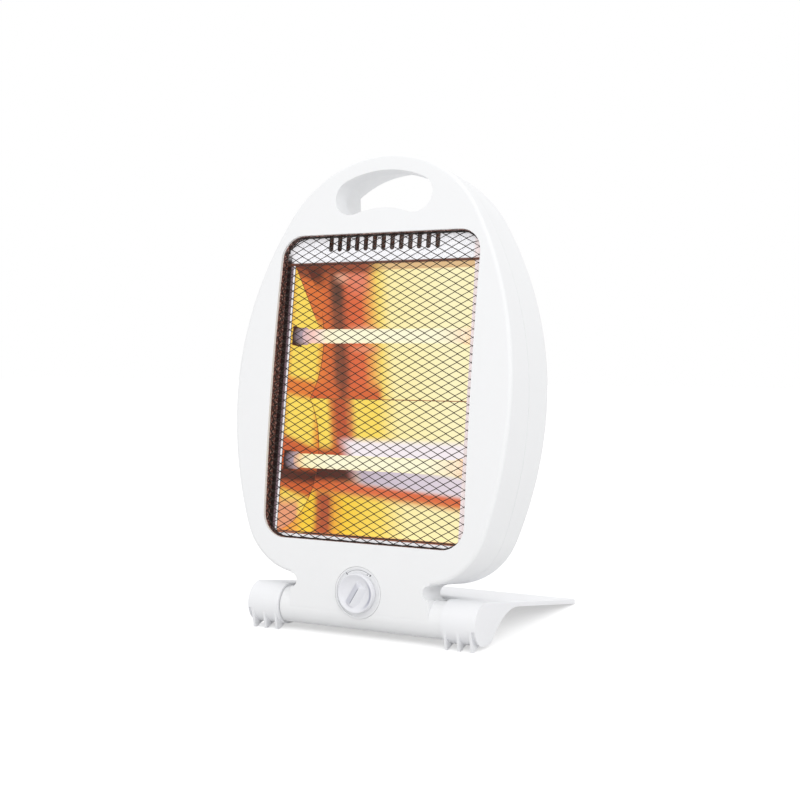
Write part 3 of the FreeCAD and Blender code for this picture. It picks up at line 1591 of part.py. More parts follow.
def make_shaft():
    """The switch shaft, from inside the switch into the knob."""
    body = new_body("switch_shaft")
    disc = new_sketch(body)
    draw_circle(disc, "Sizes.shaft_radius")
    inner = S.dial_recess + S.wall + S.switch_shaft_seat
    outside = "Sizes.dial_plate_thickness + Sizes.knob_gap + Sizes.shaft_bite - Sizes.shaft_play"
    pad(body, disc, outside + " + Sizes.wall + Sizes.switch_shaft_seat")
    keep(body, facing_out(inner))


def make_switch():
    """The rotary switch behind the dial, with a bore for the shaft and two screw holes."""
    body = new_body("rotary_switch")
    case = new_sketch(body)
    wide, tall = "Sizes.switch_width / 2", "Sizes.switch_height / 2"
    draw_rectangle(case, "-" + wide, wide, "-" + tall, tall)
    pad(body, case, "Sizes.switch_depth - Sizes.floor_gap")
    bore = new_sketch(body, "Sizes.switch_depth")
    draw_circle(bore, "Sizes.shaft_radius + Sizes.shaft_play")
    pocket(body, bore, "Sizes.switch_shaft_seat + Sizes.shaft_play")
    for across in ("-Sizes.switch_screw_reach", "Sizes.switch_screw_reach"):
        hole = new_sketch(body, "Sizes.switch_depth")
        draw_circle(hole, "Sizes.switch_screw_radius + Sizes.screw_clearance", across)
        pocket(body, hole, "Sizes.switch_screw_grip")
    keep(body, facing_out(S.dial_recess + S.wall + S.switch_depth))


# Cord inlet

def make_gland():
    """A round bush through the back, open for the cord."""
    body = new_body("cord_gland")
    wall = "Sizes.wall"
    inner = new_sketch(body)
    draw_circle(inner, "Sizes.gland_snap_radius")
    pad(body, inner, "Sizes.gland_snap_length")
    neck = new_sketch(body, "Sizes.gland_snap_length")
    draw_circle(neck, "Sizes.gland_neck_radius")
    pad(body, neck, wall + " + 2 * Sizes.gland_fit")
    flange = new_sketch(body, "Sizes.gland_snap_length + %s + 2 * Sizes.gland_fit" % wall)
    draw_circle(flange, "Sizes.gland_flange_radius")
    pad(body, flange, "Sizes.gland_flange_length")
    nose_lift = "Sizes.gland_snap_length + %s + 2 * Sizes.gland_fit + Sizes.gland_flange_length" % wall
    nose = new_sketch(body, nose_lift)
    draw_circle(nose, "Sizes.gland_nose_radius")
    pad(body, nose, "Sizes.gland_nose_length")
    bore = new_sketch(body, nose_lift + " + Sizes.gland_nose_length")
    draw_circle(bore, "Sizes.gland_bore_radius")
    pocket(body, bore, nose_lift + " + Sizes.gland_nose_length + Sizes.overrun")
    start = Vector(0, -S.wall - S.gland_fit - S.gland_snap_length, 0)
    keep(body, leaned() * inlet_place() * Placement(start, Rotation(ALONG_X, -QUARTER_TURN)))


def clamp_shape():
    """The bar that holds the cord down, on its two posts."""
    low = floor_height() + S.clamp_rise
    left, right = clamp_places()
    half = S.clamp_bar_width / 2
    bar = block(
        (left - S.clamp_bar_overhang, S.clamp_depth - half, low),
        (right + S.clamp_bar_overhang, S.clamp_depth + half, low + S.clamp_bar_thickness),
    )
    hole = S.clamp_screw_radius + S.screw_clearance
    for across in (left, right):
        centre = Vector(across, S.clamp_depth, 0)
        bar = bar.cut(rod(hole, low - S.overrun, low + S.overrun, ALONG_Z, centre))
    return bar


# Assembly

keep_shape("front_cover", front_cover_shape(), leaned())
keep_shape("rear_cover", rear_cover_shape(), leaned())
keep_shape("cover_screws", cover_screws_shape(), leaned())
keep_shape("guard_mesh", guard_shape(), leaned())
keep_shape("reflector_flange", flange_shape(), leaned())
keep_shape("reflector_screws", reflector_screws_shape(), leaned())
make_troughs()
make_end_plates()
make_tube("upper")
make_tube("lower")
keep_shape("tube_brackets", brackets_shape(), leaned())
make_dial_plate()
make_knob()
make_shaft()
make_switch()
keep_shape("switch_screws", switch_screws_shape(), dialled())
make_terminal_block()
keep_shape("tip_over_switch", tip_frame_shape(), leaned())
keep_shape("tip_over_weight", weight_shape(), leaned())
make_micro_switch()
make_cutout()
make_gland()
keep_shape("cord_clamp", clamp_shape(), leaned())
keep_shape("clamp_screws", clamp_screws_shape(), leaned())
keep_shape("supply_leads", supply_leads_shape(), leaned())
keep_shape("tube_leads_left", tube_leads_shape(-1), leaned())
keep_shape("tube_leads_right", tube_leads_shape(1), leaned())
keep_shape("folding_stand", stand_shape(), upright())
doc.recompute()

# Checks and files
for thing in doc.Objects:
    faults = [state for state in thing.State if state in ("Invalid", "Error")]
    if faults:
        raise RuntimeError("%s is %s" % (thing.Label, faults))
for thing in nodes:
    if thing.Shape.isNull() or not thing.Shape.isValid():
        raise RuntimeError("%s has no valid shape" % thing.Label)

os.makedirs("parts", exist_ok=True)
for thing in nodes:
    thing.Shape.exportStep("parts/%s.step" % thing.Label)
    print(thing.Label, len(thing.Shape.Solids), round(thing.Shape.Volume, 1))
print("hinge axis", upright().Base, "dial", dialled().Base, "pieces", len(nodes))
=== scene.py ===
"""Looks of the quartz heater: its finishes, the fine pieces that the frame leaves plain, the
camera and the studio. Lengths are in metres. A piece of the body is drawn upright, with the hinge
axis at the origin, and is then leaned back with the body. A piece of the dial is drawn facing the
front."""
import math

import bmesh
import bpy
from mathutils import Matrix, Vector
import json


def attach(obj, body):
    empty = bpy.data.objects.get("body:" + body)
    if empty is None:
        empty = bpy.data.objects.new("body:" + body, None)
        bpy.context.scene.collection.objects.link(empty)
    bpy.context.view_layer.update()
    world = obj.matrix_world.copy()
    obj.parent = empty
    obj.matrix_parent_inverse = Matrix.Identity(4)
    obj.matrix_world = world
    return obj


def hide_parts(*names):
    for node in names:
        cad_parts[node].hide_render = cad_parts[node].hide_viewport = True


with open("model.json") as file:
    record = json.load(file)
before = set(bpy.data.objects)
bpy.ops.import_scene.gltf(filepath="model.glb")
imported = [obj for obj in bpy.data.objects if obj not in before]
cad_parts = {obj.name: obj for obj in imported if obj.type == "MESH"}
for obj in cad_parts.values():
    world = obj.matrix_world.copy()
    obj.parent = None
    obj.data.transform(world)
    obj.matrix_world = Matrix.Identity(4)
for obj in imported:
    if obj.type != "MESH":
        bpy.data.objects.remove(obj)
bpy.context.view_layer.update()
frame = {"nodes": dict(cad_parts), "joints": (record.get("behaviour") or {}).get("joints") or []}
nodes = frame["nodes"]
joints = {joint["name"]: joint for joint in frame["joints"]}

# The body's curved face and the dial on it
LEAN = math.radians(8.0)
FACE_RADIUS = 1.8
FACE_PEAK_DEPTH = 0.0253
FACE_PEAK_HEIGHT = 0.190
DIAL_HEIGHT = 0.0156

# The guard's net, and the band that holds its edge
GUARD_HALF_WIDTH = 0.0914
GUARD_LOW = 0.0558
GUARD_HIGH = 0.3077
GUARD_MIDDLE = (GUARD_LOW + GUARD_HIGH) / 2
GUARD_CORNER = 0.0187
GUARD_BEND = 0.0030
GUARD_SETBACK = 0.0014
GUARD_BACK = 0.0131
GUARD_SKIRT = 0.0135
MESH_CELL_WIDTH = 0.0121
MESH_CELL_HEIGHT = 0.0066
MESH_WIRE = 0.0010
SPARE_CELLS = 8
BAND_HALF_WIDTH = 0.0920
BAND_MARGIN = 0.0006
BAND_SHEET = 0.0004
BAND_STEP = 0.012
CORNER_STEPS = 8

# The knob, its dish and its grip
KNOB_LIFT = 0.0005
KNOB_TOP = 0.0050
KNOB_RIM = [
    (0.0155, -KNOB_LIFT), (0.0160, -KNOB_LIFT + 0.0004), (0.0160, KNOB_TOP - 0.0010),
    (0.01572, KNOB_TOP - 0.0003), (0.0152, KNOB_TOP), (0.0148, KNOB_TOP - 0.0001),
]
KNOB_SIDES = 96
DISH_RADIUS = 0.0147
DISH_DEPTH = 0.0041
DISH_START = 0.0002
DISH_RINGS = 10
DISH_REACH = 10.3
DISH_CROWDING = 1.6
DISH_CURVE = 4
GRIP_SIZE = (0.0134, 0.0212, 0.0044)
GRIP_TAPER = (0.24, 0.82)
GRIP_DROP = 0.0024
GRIP_ROUNDING = 0.0008
GRIP_TURN = math.radians(31.0)
GRIP_SHIFT = (0, -0.0022, 0)
SMOOTH_BELOW = math.radians(40)

# The camera, solved from measured points of the photograph, and the studio
CAMERA_YAW = math.radians(27.97)
CAMERA_PITCH = math.radians(2.46)
LENS_PIXELS = 1291.4
FRAME_PIXELS = 800.0
SENSOR = 36.0
SEEN_AS_FAR_AS = 50
EYE_ACROSS = 0.5119
EYE_BEFORE = 0.8910
EYE_HEIGHT = 0.2367
SOLVED_BEFORE_HINGE = 0.015
LIGHT_TARGET = (0, 0, 0.2)
FLOOR_SIDE = 12
FLOOR_SHADE = 0.7
FLOOR_GLOW = 0.5
WORLD_LIGHT = 0.92

# Painted places, in millimetres
MILLIMETRES = 1000.0
FAR = 1000.0
UPPER_TROUGH = (-33.0, 221.7, 74.0)
LOWER_TROUGH = (-21.0, 126.5, 66.4)
TROUGH_HALF_LENGTH = 84.0
WALL_REACH = TROUGH_HALF_LENGTH + 0.1
TUBE_HEIGHTS = (225.4, 119.8)
TUBE_HOLE = 8.2
SLANT_WAY = (0.883, 0.469, 0.117)
SLANT_START = 20.7
FALLING_SHARE = 0.075
LEANING_SHARE = 0.30
CORNER_SHARE = 1.05
RISING_SHARE = 0.16
ARC_HALF = math.radians(36)
MARK_TURN = 0.035


def face_depth(height):
    """How deep the curved face lies at a height of the body."""
    rise = height - FACE_PEAK_HEIGHT
    return FACE_RADIUS - FACE_PEAK_DEPTH - math.sqrt(FACE_RADIUS ** 2 - rise ** 2)


hinge = Vector(joints["stand_fold"]["pos_m"])
body_frame = Matrix.Translation(hinge) @ Matrix.Rotation(-LEAN, 4, "X")
dial_tilt = math.asin((FACE_PEAK_HEIGHT - DIAL_HEIGHT) / FACE_RADIUS)
dial_frame = (
    body_frame
    @ Matrix.Translation((0, face_depth(DIAL_HEIGHT), DIAL_HEIGHT))
    @ Matrix.Rotation(dial_tilt, 4, "X")
)


# Selecting and shaping

def select_none():
    if bpy.context.mode != "OBJECT":
        bpy.ops.object.mode_set(mode="OBJECT")
    bpy.ops.object.select_all(action="DESELECT")


def pick(piece):
    select_none()
    piece.select_set(True)
    bpy.context.view_layer.objects.active = piece


def named(name):
    """Names the piece that was just added."""
    piece = bpy.context.object
    piece.name = name
    piece.data.name = name
    return piece


def edit_all():
    """Starts edit mode with everything in the active piece selected."""
    bpy.ops.object.mode_set(mode="EDIT")
    bpy.ops.mesh.select_all(action="SELECT")


def apply_modifiers(piece):
    pick(piece)
    for modifier in list(piece.modifiers):
        bpy.ops.object.modifier_apply(modifier=modifier.name)


def settle(piece, place, body, finish, replaced=()):
    """Puts a finished piece in its place, on its body, with its finish."""
    pick(piece)
    bpy.ops.object.transform_apply(location=True, rotation=True, scale=True)
    piece.data.transform(place)
    piece.data.materials.clear()
    piece.data.materials.append(finish)
    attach(piece, body)
    if replaced:
        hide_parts(*replaced)


# Shader helpers

def new_material(name):
    material = bpy.data.materials.new(name)
    material.use_nodes = True
    shader = material.node_tree.nodes["Principled BSDF"]
    return material, material.node_tree, shader


def new_group(name, inputs, outputs):
    """A shader node group with its sockets, and the nodes at its two ends."""
    group = bpy.data.node_groups.new(name, "ShaderNodeTree")
    for socket, kind, value in inputs:
        made = group.interface.new_socket(socket, in_out="INPUT", socket_type=kind)
        made.default_value = value
    for socket, kind in outputs:
        group.interface.new_socket(socket, in_out="OUTPUT", socket_type=kind)
    return group, group.nodes.new("NodeGroupInput"), group.nodes.new("NodeGroupOutput")


def add_node(tree, kind, values=None, **settings):
    node = tree.nodes.new(kind)
    for setting, value in settings.items():
        setattr(node, setting, value)
    for socket, value in (values or {}).items():
        node.inputs[socket].default_value = value
    return node


def feed(tree, value, socket):
    """Gives a socket a plain value, or links another socket to it."""
    if isinstance(value, bpy.types.NodeSocket):
        tree.links.new(value, socket)
    else:
        socket.default_value = value


def times(tree, first, second):
    node = add_node(tree, "ShaderNodeMath", operation="MULTIPLY")
    tree.links.new(first, node.inputs[0])
    tree.links.new(second, node.inputs[1])
    return node.outputs["Value"]


def clouded(tree, place, scale, detail, low, high):
    """Clouds, and a tint that they make lighter and darker between two values."""
    clouds = add_node(tree, "ShaderNodeTexNoise", {"Scale": scale, "Detail": detail})
    value = add_node(tree, "ShaderNodeMapRange", {"To Min": low, "To Max": high})
    tint = add_node(tree, "ShaderNodeHueSaturation")
    tree.links.new(place.outputs["Object"], clouds.inputs["Vector"])
    tree.links.new(clouds.outputs["Fac"], value.inputs["Value"])
    tree.links.new(value.outputs["Result"], tint.inputs["Value"])
    return clouds, tint


def mottled(tree, colour, scale, low, high):
    """A colour made lighter and darker by slow clouds."""
    place = add_node(tree, "ShaderNodeTexCoord")
    tint = clouded(tree, place, scale, detail=4.0, low=low, high=high)[1]
    feed(tree, colour, tint.inputs["Color"])
    return tint.outputs["Color"]


# Plastic and metal

SKIN_OUTPUTS = [
    ("Colour", "NodeSocketColor"),
    ("Roughness", "NodeSocketFloat"),
    ("Normal", "NodeSocketVector"),
]


def moulded_plastic_group():
    """The faint cloudiness, fine grain and slow waviness of moulded plastic."""
    group, start, end = new_group(
        "moulded_plastic",
        [
            ("Colour", "NodeSocketColor", (0.9, 0.9, 0.9, 1)),
            ("Gloss break", "NodeSocketFloat", 0.05),
            ("Base roughness", "NodeSocketFloat", 0.35),
            ("Grain height", "NodeSocketFloat", 0.00002),
        ],
        SKIN_OUTPUTS,
    )
    place = add_node(group, "ShaderNodeTexCoord")
    clouds, tint = clouded(group, place, scale=14.0, detail=3.0, low=0.985, high=1.0)
    grain = add_node(group, "ShaderNodeTexNoise", {"Scale": 2600.0, "Detail": 2.0})
    gloss = add_node(group, "ShaderNodeMath", operation="MULTIPLY_ADD")
    bump = add_node(group, "ShaderNodeBump", {"Strength": 1.0})
    link = group.links.new
    link(place.outputs["Object"], grain.inputs["Vector"])
    link(start.outputs["Colour"], tint.inputs["Color"])
    link(tint.outputs["Color"], end.inputs["Colour"])
    link(clouds.outputs["Fac"], gloss.inputs[0])
    link(start.outputs["Gloss break"], gloss.inputs[1])
    link(start.outputs["Base roughness"], gloss.inputs[2])
    link(gloss.outputs["Value"], end.inputs["Roughness"])
    link(grain.outputs["Fac"], bump.inputs["Height"])
    link(start.outputs["Grain height"], bump.inputs["Distance"])
    link(bump.outputs["Normal"], end.inputs["Normal"])
    return group


def streaked_metal_group():
    """Fine streaks and slow stains in a metal's colour, gloss and surface."""
    group, start, end = new_group(
        "streaked_metal",
        [
            ("Colour", "NodeSocketColor", (0.6, 0.6, 0.6, 1)),
            ("Base roughness", "NodeSocketFloat", 0.35),
            ("Streaks", "NodeSocketVector", (1.0, 1.0, 1.0)),
        ],
        SKIN_OUTPUTS,
    )
    place = add_node(group, "ShaderNodeTexCoord")
    stretch = add_node(group, "ShaderNodeVectorMath", operation="MULTIPLY")
    lines = add_node(group, "ShaderNodeTexNoise", {"Scale": 900.0, "Detail": 3.0})
    tint = clouded(group, place, scale=60.0, detail=4.0, low=0.82, high=1.08)[1]
    gloss = add_node(group, "ShaderNodeMath", {1: 0.25}, operation="MULTIPLY_ADD")
    bump = add_node(group, "ShaderNodeBump", {"Strength": 0.6, "Distance": 0.00003})
    link = group.links.new
    link(place.outputs["Object"], stretch.inputs[0])
    link(start.outputs["Streaks"], stretch.inputs[1])
    link(stretch.outputs["Vector"], lines.inputs["Vector"])
    link(start.outputs["Colour"], tint.inputs["Color"])
    link(tint.outputs["Color"], end.inputs["Colour"])
    link(lines.outputs["Fac"], gloss.inputs[0])
    link(start.outputs["Base roughness"], gloss.inputs[2])
    link(gloss.outputs["Value"], end.inputs["Roughness"])
    link(lines.outputs["Fac"], bump.inputs["Height"])
    link(bump.outputs["Normal"], end.inputs["Normal"])
    return group


MOULDED = moulded_plastic_group()
STREAKED = streaked_metal_group()


def skinned(name, group, values):
    """A material whose colour, roughness and surface come from a group."""
    material, tree, shader = new_material(name)
    skin = add_node(tree, "ShaderNodeGroup", values, node_tree=group)
    tree.links.new(skin.outputs["Colour"], shader.inputs["Base Color"])
    tree.links.new(skin.outputs["Roughness"], shader.inputs["Roughness"])
    tree.links.new(skin.outputs["Normal"], shader.inputs["Normal"])
    return material, tree, shader


def plastic(name, colour, roughness=0.35, grain=0.00002):
    values = {"Colour": (*colour, 1), "Base roughness": roughness, "Grain height": grain}
    return skinned(name, MOULDED, values)[0]


def metal(name, colour, roughness=0.35, streaks=(1.0, 1.0, 1.0), metallic=1.0):
    """Rolled, drawn or turned metal, with fine streaks stretched across the piece."""
    values = {"Colour": (*colour, 1), "Base roughness": roughness, "Streaks": streaks}
    material, _, shader = skinned(name, STREAKED, values)
    shader.inputs["Metallic"].default_value = metallic
    return material


# Places that the painted glow and the print are laid out on, in millimetres

def heater_place_group():
    """Across, depth and height in the leaning body, and the slant that the sheen takes."""
    group, _, end = new_group(
        "heater_place",
        [],
        [(name, "NodeSocketFloat") for name in ("Across", "Depth", "Height", "Slant")],
    )
    place = add_node(group, "ShaderNodeTexCoord")
    shift = -(Matrix.Rotation(LEAN, 3, "X") @ hinge) * MILLIMETRES
    upright = add_node(group, "ShaderNodeMapping", {
        "Location": shift, "Rotation": (LEAN, 0, 0), "Scale": (MILLIMETRES,) * 3,
    })
    parts = add_node(group, "ShaderNodeSeparateXYZ")
    slant = add_node(group, "ShaderNodeVectorMath", {1: SLANT_WAY}, operation="DOT_PRODUCT")
    centred = add_node(group, "ShaderNodeMath", {1: SLANT_START}, operation="SUBTRACT")
    link = group.links.new
    link(place.outputs["Object"], upright.inputs["Vector"])
    link(upright.outputs["Vector"], parts.inputs["Vector"])
    link(upright.outputs["Vector"], slant.inputs[0])
    link(slant.outputs["Value"], centred.inputs[0])
    link(parts.outputs["X"], end.inputs["Across"])
    link(parts.outputs["Y"], end.inputs["Depth"])
    link(parts.outputs["Z"], end.inputs["Height"])
    link(centred.outputs["Value"], end.inputs["Slant"])
    return group


def soft_band_group():
    """A mask that is 1 between two values and fades out at both."""
    group, start, end = new_group(
        "soft_band",
        [
            ("Value", "NodeSocketFloat", 0.0), ("Low", "NodeSocketFloat", 0.0),
            ("High", "NodeSocketFloat", 1.0), ("Softness", "NodeSocketFloat", 0.1),
        ],
        [("Mask", "NodeSocketFloat")],
    )
    link = group.links.new
    sides = []
    for edge, outer, inner in (("Low", 0.0, 1.0), ("High", 1.0, 0.0)):
        near = add_node(group, "ShaderNodeMath", operation="SUBTRACT")
        far = add_node(group, "ShaderNodeMath", operation="ADD")
        for node in (near, far):
            link(start.outputs[edge], node.inputs[0])
            link(start.outputs["Softness"], node.inputs[1])
        fade = add_node(group, "ShaderNodeMapRange", {"To Min": outer, "To Max": inner},
                        interpolation_type="SMOOTHSTEP")
        link(start.outputs["Value"], fade.inputs["Value"])
        link(near.outputs["Value"], fade.inputs["From Min"])
        link(far.outputs["Value"], fade.inputs["From Max"])
        sides.append(fade.outputs["Result"])
    link(times(group, *sides), end.inputs["Mask"])
    return group


HEATER_PLACE = heater_place_group()
SOFT_BAND = soft_band_group()


def tilted(tree, value, other, share):
    """A value shifted by a share of another, for bands that run aslant."""
    node = add_node(tree, "ShaderNodeMath", {1: share}, operation="MULTIPLY_ADD")
    tree.links.new(other, node.inputs[0])
    tree.links.new(value, node.inputs[2])
    return node.outputs["Value"]


def heater_ways(tree):
    """The places in the leaning body that bands are measured along, by name."""
    place = add_node(tree, "ShaderNodeGroup", node_tree=HEATER_PLACE)
    return {socket.name.lower(): socket for socket in place.outputs}


def dial_ways(tree):
    """The distance and the turn from the dial's centre, and the places along the grip and aside
    from it, by name. The turn is in radians."""
    place = add_node(tree, "ShaderNodeTexCoord")
    turn = dial_frame.to_3x3().inverted()
    shift = -(turn @ dial_frame.translation) * MILLIMETRES
    faced = add_node(tree, "ShaderNodeMapping", {
        "Location": shift, "Rotation": turn.to_euler(), "Scale": (MILLIMETRES,) * 3,
    })
    flat = add_node(tree, "ShaderNodeVectorMath", {1: (1, 0, 1)}, operation="MULTIPLY")
    away = add_node(tree, "ShaderNodeVectorMath", operation="LENGTH")
    parts = add_node(tree, "ShaderNodeSeparateXYZ")
    angle = add_node(tree, "ShaderNodeMath", operation="ARCTAN2")
    tree.links.new(place.outputs["Object"], faced.inputs["Vector"])
    tree.links.new(faced.outputs["Vector"], flat.inputs[0])
    tree.links.new(flat.outputs["Vector"], away.inputs[0])
    tree.links.new(flat.outputs["Vector"], parts.inputs["Vector"])
    tree.links.new(parts.outputs["X"], angle.inputs[0])
    tree.links.new(parts.outputs["Z"], angle.inputs[1])
    across, up, share = parts.outputs["X"], parts.outputs["Z"], math.tan(GRIP_TURN)
    return {
        "radius": away.outputs["Value"],
        "turned": angle.outputs["Value"],
        "aside": tilted(tree, across, up, -share),
        "along": tilted(tree, up, across, share),
    }


def distance_from(tree, ways, centre):
    """The distance from a trough's axis, whose depth and height are given."""
    squares = []
    for name, middle in zip(("depth", "height"), centre):
        shifted = add_node(tree, "ShaderNodeMath", {1: middle}, operation="SUBTRACT")
        tree.links.new(ways[name], shifted.inputs[0])
        squares.append(times(tree, shifted.outputs["Value"], shifted.outputs["Value"]))
    total = add_node(tree, "ShaderNodeMath", operation="ADD")
    away = add_node(tree, "ShaderNodeMath", operation="SQRT")
    tree.links.new(squares[0], total.inputs[0])
    tree.links.new(squares[1], total.inputs[1])
    tree.links.new(total.outputs["Value"], away.inputs[0])
    return away.outputs["Value"]


# Painting

def srgb(red, green, blue):
    """A colour as a picture gives it, 0 to 255, made linear."""
    linear = []
    for channel in (red, green, blue):
        share = channel / 255
        linear.append(share / 12.92 if share <= 0.04045 else ((share + 0.055) / 1.055) ** 2.4)
    return (*linear, 1)


def colour_run(tree, value, stops):
    """Colours along a value, given as pairs of a place in millimetres and a colour."""
    low, high = stops[0][0], stops[-1][0]
    share = add_node(tree, "ShaderNodeMapRange", {"From Min": low, "From Max": high})
    ramp = add_node(tree, "ShaderNodeValToRGB")
    tree.links.new(value, share.inputs["Value"])
    tree.links.new(share.outputs["Result"], ramp.inputs["Fac"])
    elements = ramp.color_ramp.elements
    elements[0].color, elements[1].color = stops[0][1], stops[-1][1]
    for place, colour in stops[1:-1]:
        elements.new((place - low) / (high - low)).color = colour
    return ramp.outputs["Color"]


def band_mask(tree, value, low, high, softness):
    edges = {"Low": low, "High": high, "Softness": softness}
    mask = add_node(tree, "ShaderNodeGroup", edges, node_tree=SOFT_BAND)
    tree.links.new(value, mask.inputs["Value"])
    return mask.outputs["Mask"]


def lay_over(tree, ways, below, layers):
    """Lays painted layers over a colour. A layer is a colour, or a list of colours along the
    slant, and the bands in which it shows: each a way, its low and high edge and its softness."""
    for paint, *bands in layers:
        masks = [band_mask(tree, ways[way], *edges) for way, *edges in bands]
        mask = masks[0] if len(masks) == 1 else times(tree, *masks)
        if isinstance(paint, list):
            paint = colour_run(tree, ways["slant"], paint)
        mix = add_node(tree, "ShaderNodeMix", data_type="RGBA")
        tree.links.new(mask, mix.inputs["Factor"])
        feed(tree, below, mix.inputs["A"])
        feed(tree, paint, mix.inputs["B"])
        below = mix.outputs["Result"]
    return below


def light_up(tree, shader, colour):
    """Makes a painted colour glow on a dark surface."""
    shader.inputs["Base Color"].default_value = (0.03, 0.03, 0.03, 1)
    shader.inputs["Specular IOR Level"].default_value = 0.1
    shader.inputs["Roughness"].default_value = 0.4
    shader.inputs["Emission Strength"].default_value = 1.0
    tree.links.new(colour, shader.inputs["Emission Color"])


def paint_with_painted_light(tree, shader, colour, strength, roughness):
    """Gives the surface a colour and lets it glow a little with it, as painted light."""
    tree.links.new(colour, shader.inputs["Base Color"])
    tree.links.new(colour, shader.inputs["Emission Color"])
    shader.inputs["Emission Strength"].default_value = strength
    shader.inputs["Roughness"].default_value = roughness


# Painted reflections of the glow in the troughs and on the end walls

# Colours of the painted reflections, painted light and painted shade in the troughs and on the
# end walls
YELLOW = srgb(251, 220, 96)
DEEP_YELLOW = srgb(247, 204, 62)
PALE = srgb(254, 240, 172)
PALEST = srgb(255, 246, 196)
CREAM = srgb(255, 250, 216)
ORANGE = srgb(232, 128, 52)
LILAC_WHITE = srgb(247, 238, 243)
SEAM_BROWN = srgb(120, 62, 44)
# painted shade: the near-black of sheet faces left unlit
UNLIT = srgb(26, 22, 20)

UPPER_RUN = [
    (-75, srgb(234, 142, 66)), (-52, srgb(228, 122, 62)), (-43, srgb(214, 106, 60)),
    (-38, srgb(140, 78, 58)), (-32, srgb(128, 70, 54)), (-25, srgb(216, 100, 62)),
    (-14, srgb(226, 106, 64)), (-7, srgb(238, 160, 80)), (2, srgb(250, 220, 112)), (12, PALE),
    (60, PALEST), (90, PALEST),
]
UPPER_HALO = ("slant", -22, -2, 9)
UPPER_LAYERS = [
    # painted highlight, painted shade and a painted red reflection near the top
    (srgb(232, 168, 140), ("slant", -34, -22, 4), ("height", 275, 283, 3)),
    (srgb(96, 62, 54), ("slant", -38, -30, 4), ("height", 258, 276, 6)),
    (srgb(232, 134, 108), ("slant", -24, -6, 7), ("height", 268, FAR, 10)),
    # the upper edge, painted brown in shade at the left and pale at the right, with a painted
    # shade line along it
    (srgb(150, 76, 54), ("height", 281.5, FAR, 2.5), ("slant", -FAR, 0, 12)),
    (srgb(96, 50, 42), ("height", 274, FAR, 7), ("slant", -FAR, -44, 6)),
    (srgb(246, 200, 144), ("height", 283.4, FAR, 1), ("slant", 4, FAR, 12)),
    (srgb(92, 46, 38), ("height", 284.2, FAR, 1.2)),
    # painted light above and below the tube
    (srgb(240, 172, 136), UPPER_HALO, ("height", 235, 240, 3.5)),
    (srgb(236, 148, 112), UPPER_HALO, ("height", 218, 223, 3.5)),
    # the foot, its shadow and the edge between the troughs
    (srgb(214, 100, 54), ("height", -FAR, 187, 8), ("slant", -70, 0, 4)),
    (srgb(128, 66, 50), ("slant", -36, -30, 5), ("height", -FAR, 214, 12)),
    (srgb(176, 104, 62), ("height", -FAR, 175.7, 0.3)),
]
LOWER_RUN = [
    (-80, DEEP_YELLOW), (-49, YELLOW), (-44, srgb(216, 128, 62)), (-40, srgb(190, 88, 54)),
    (-33, srgb(188, 86, 54)), (-28, srgb(214, 130, 72)), (-22, YELLOW), (-4, YELLOW),
    (14, PALE), (60, PALEST), (90, PALEST),
]
LOWER_FOOT_RUN = [
    (-90, srgb(236, 140, 64)), (-79, srgb(240, 170, 66)), (-72, DEEP_YELLOW),
    (-65, DEEP_YELLOW), (-60, srgb(196, 104, 56)), (-56, srgb(176, 84, 54)),
    (-51, srgb(180, 88, 54)), (-45, srgb(238, 172, 60)), (-36, DEEP_YELLOW), (-6, YELLOW),
    (16, PALE), (90, PALEST),
]
LILAC_RUN = [
    (-34, srgb(176, 158, 172)), (-10, srgb(200, 186, 200)), (20, srgb(214, 202, 214)),
    (60, srgb(228, 216, 226)),
]
LOWER_RIGHT = ("leaning", 6, FAR, 8)
LOWER_LAYERS = [
    (LOWER_FOOT_RUN, ("height", -FAR, 96, 6)),
    # the painted red reflection that falls to the right under the tube
    (srgb(226, 150, 84), ("slant", -40, FAR, 9), ("falling", 90.5, 104, 4.5)),
    (srgb(222, 108, 66), ("slant", -46, FAR, 8), ("falling", 93.5, 102, 3)),
    # the shadows round the tube's left end
    (srgb(190, 88, 50), ("slant", -FAR, -36, 8), ("height", 116, 134, 5)),
    (srgb(216, 104, 56), ("slant", -FAR, -42, 8), ("height", 95, 112, 4)),
    (srgb(78, 38, 34), ("slant", -FAR, -28, 8), ("height", 105, 120, 4)),
    # the painted lilac reflections above and below the tube, and the lower edge
    (LILAC_WHITE, LOWER_RIGHT, ("height", 117, 141.5, 4)),
    (LILAC_RUN, LOWER_RIGHT, ("falling", 101.5, 118, 3)),
    (srgb(176, 104, 70), ("height", -FAR, 61.0, 0.5)),
]
END_RUN = [(-14, srgb(240, 178, 70)), (-6, YELLOW), (30, YELLOW), (44, ORANGE)]
END_LAYERS = [
    # between the troughs
    (srgb(228, 126, 58), ("height", 175, 190, 4)),
    # the upper corner, with a line along its edge
    (srgb(222, 118, 62), ("corner", 271.4, FAR, 0.8), ("height", 240, FAR, 8)),
    (srgb(150, 78, 44), ("corner", 270.8, 272.2, 0.4), ("height", 246, FAR, 6)),
    (srgb(146, 78, 54), ("corner", 271.4, FAR, 0.8), ("height", 277, FAR, 3)),
    # the lower tube's shadow, and the foot
    (srgb(204, 96, 52), ("rising", 94, 139, 4)),
    (srgb(84, 42, 36), ("height", 102, 113, 3.5)),
    (srgb(232, 156, 120), ("height", -FAR, 86, 7), ("depth", -FAR, 18, 6)),
    # outside the troughs, painted dark as unlit
    (UNLIT, ("across", -FAR, -WALL_REACH, 0.05)),
    (UNLIT, ("across", WALL_REACH, FAR, 0.05)),
    (UNLIT, ("depth", -FAR, -12.15, 0.02)),
] + [
    # painted shade round each tube's end
    (srgb(70, 28, 24), ("depth", -9.6, 5.2, 0.4), ("height", at - TUBE_HOLE, at + TUBE_HOLE, 0.4))
    for at in TUBE_HEIGHTS
]
FLANGE_SILVER = srgb(238, 238, 242)
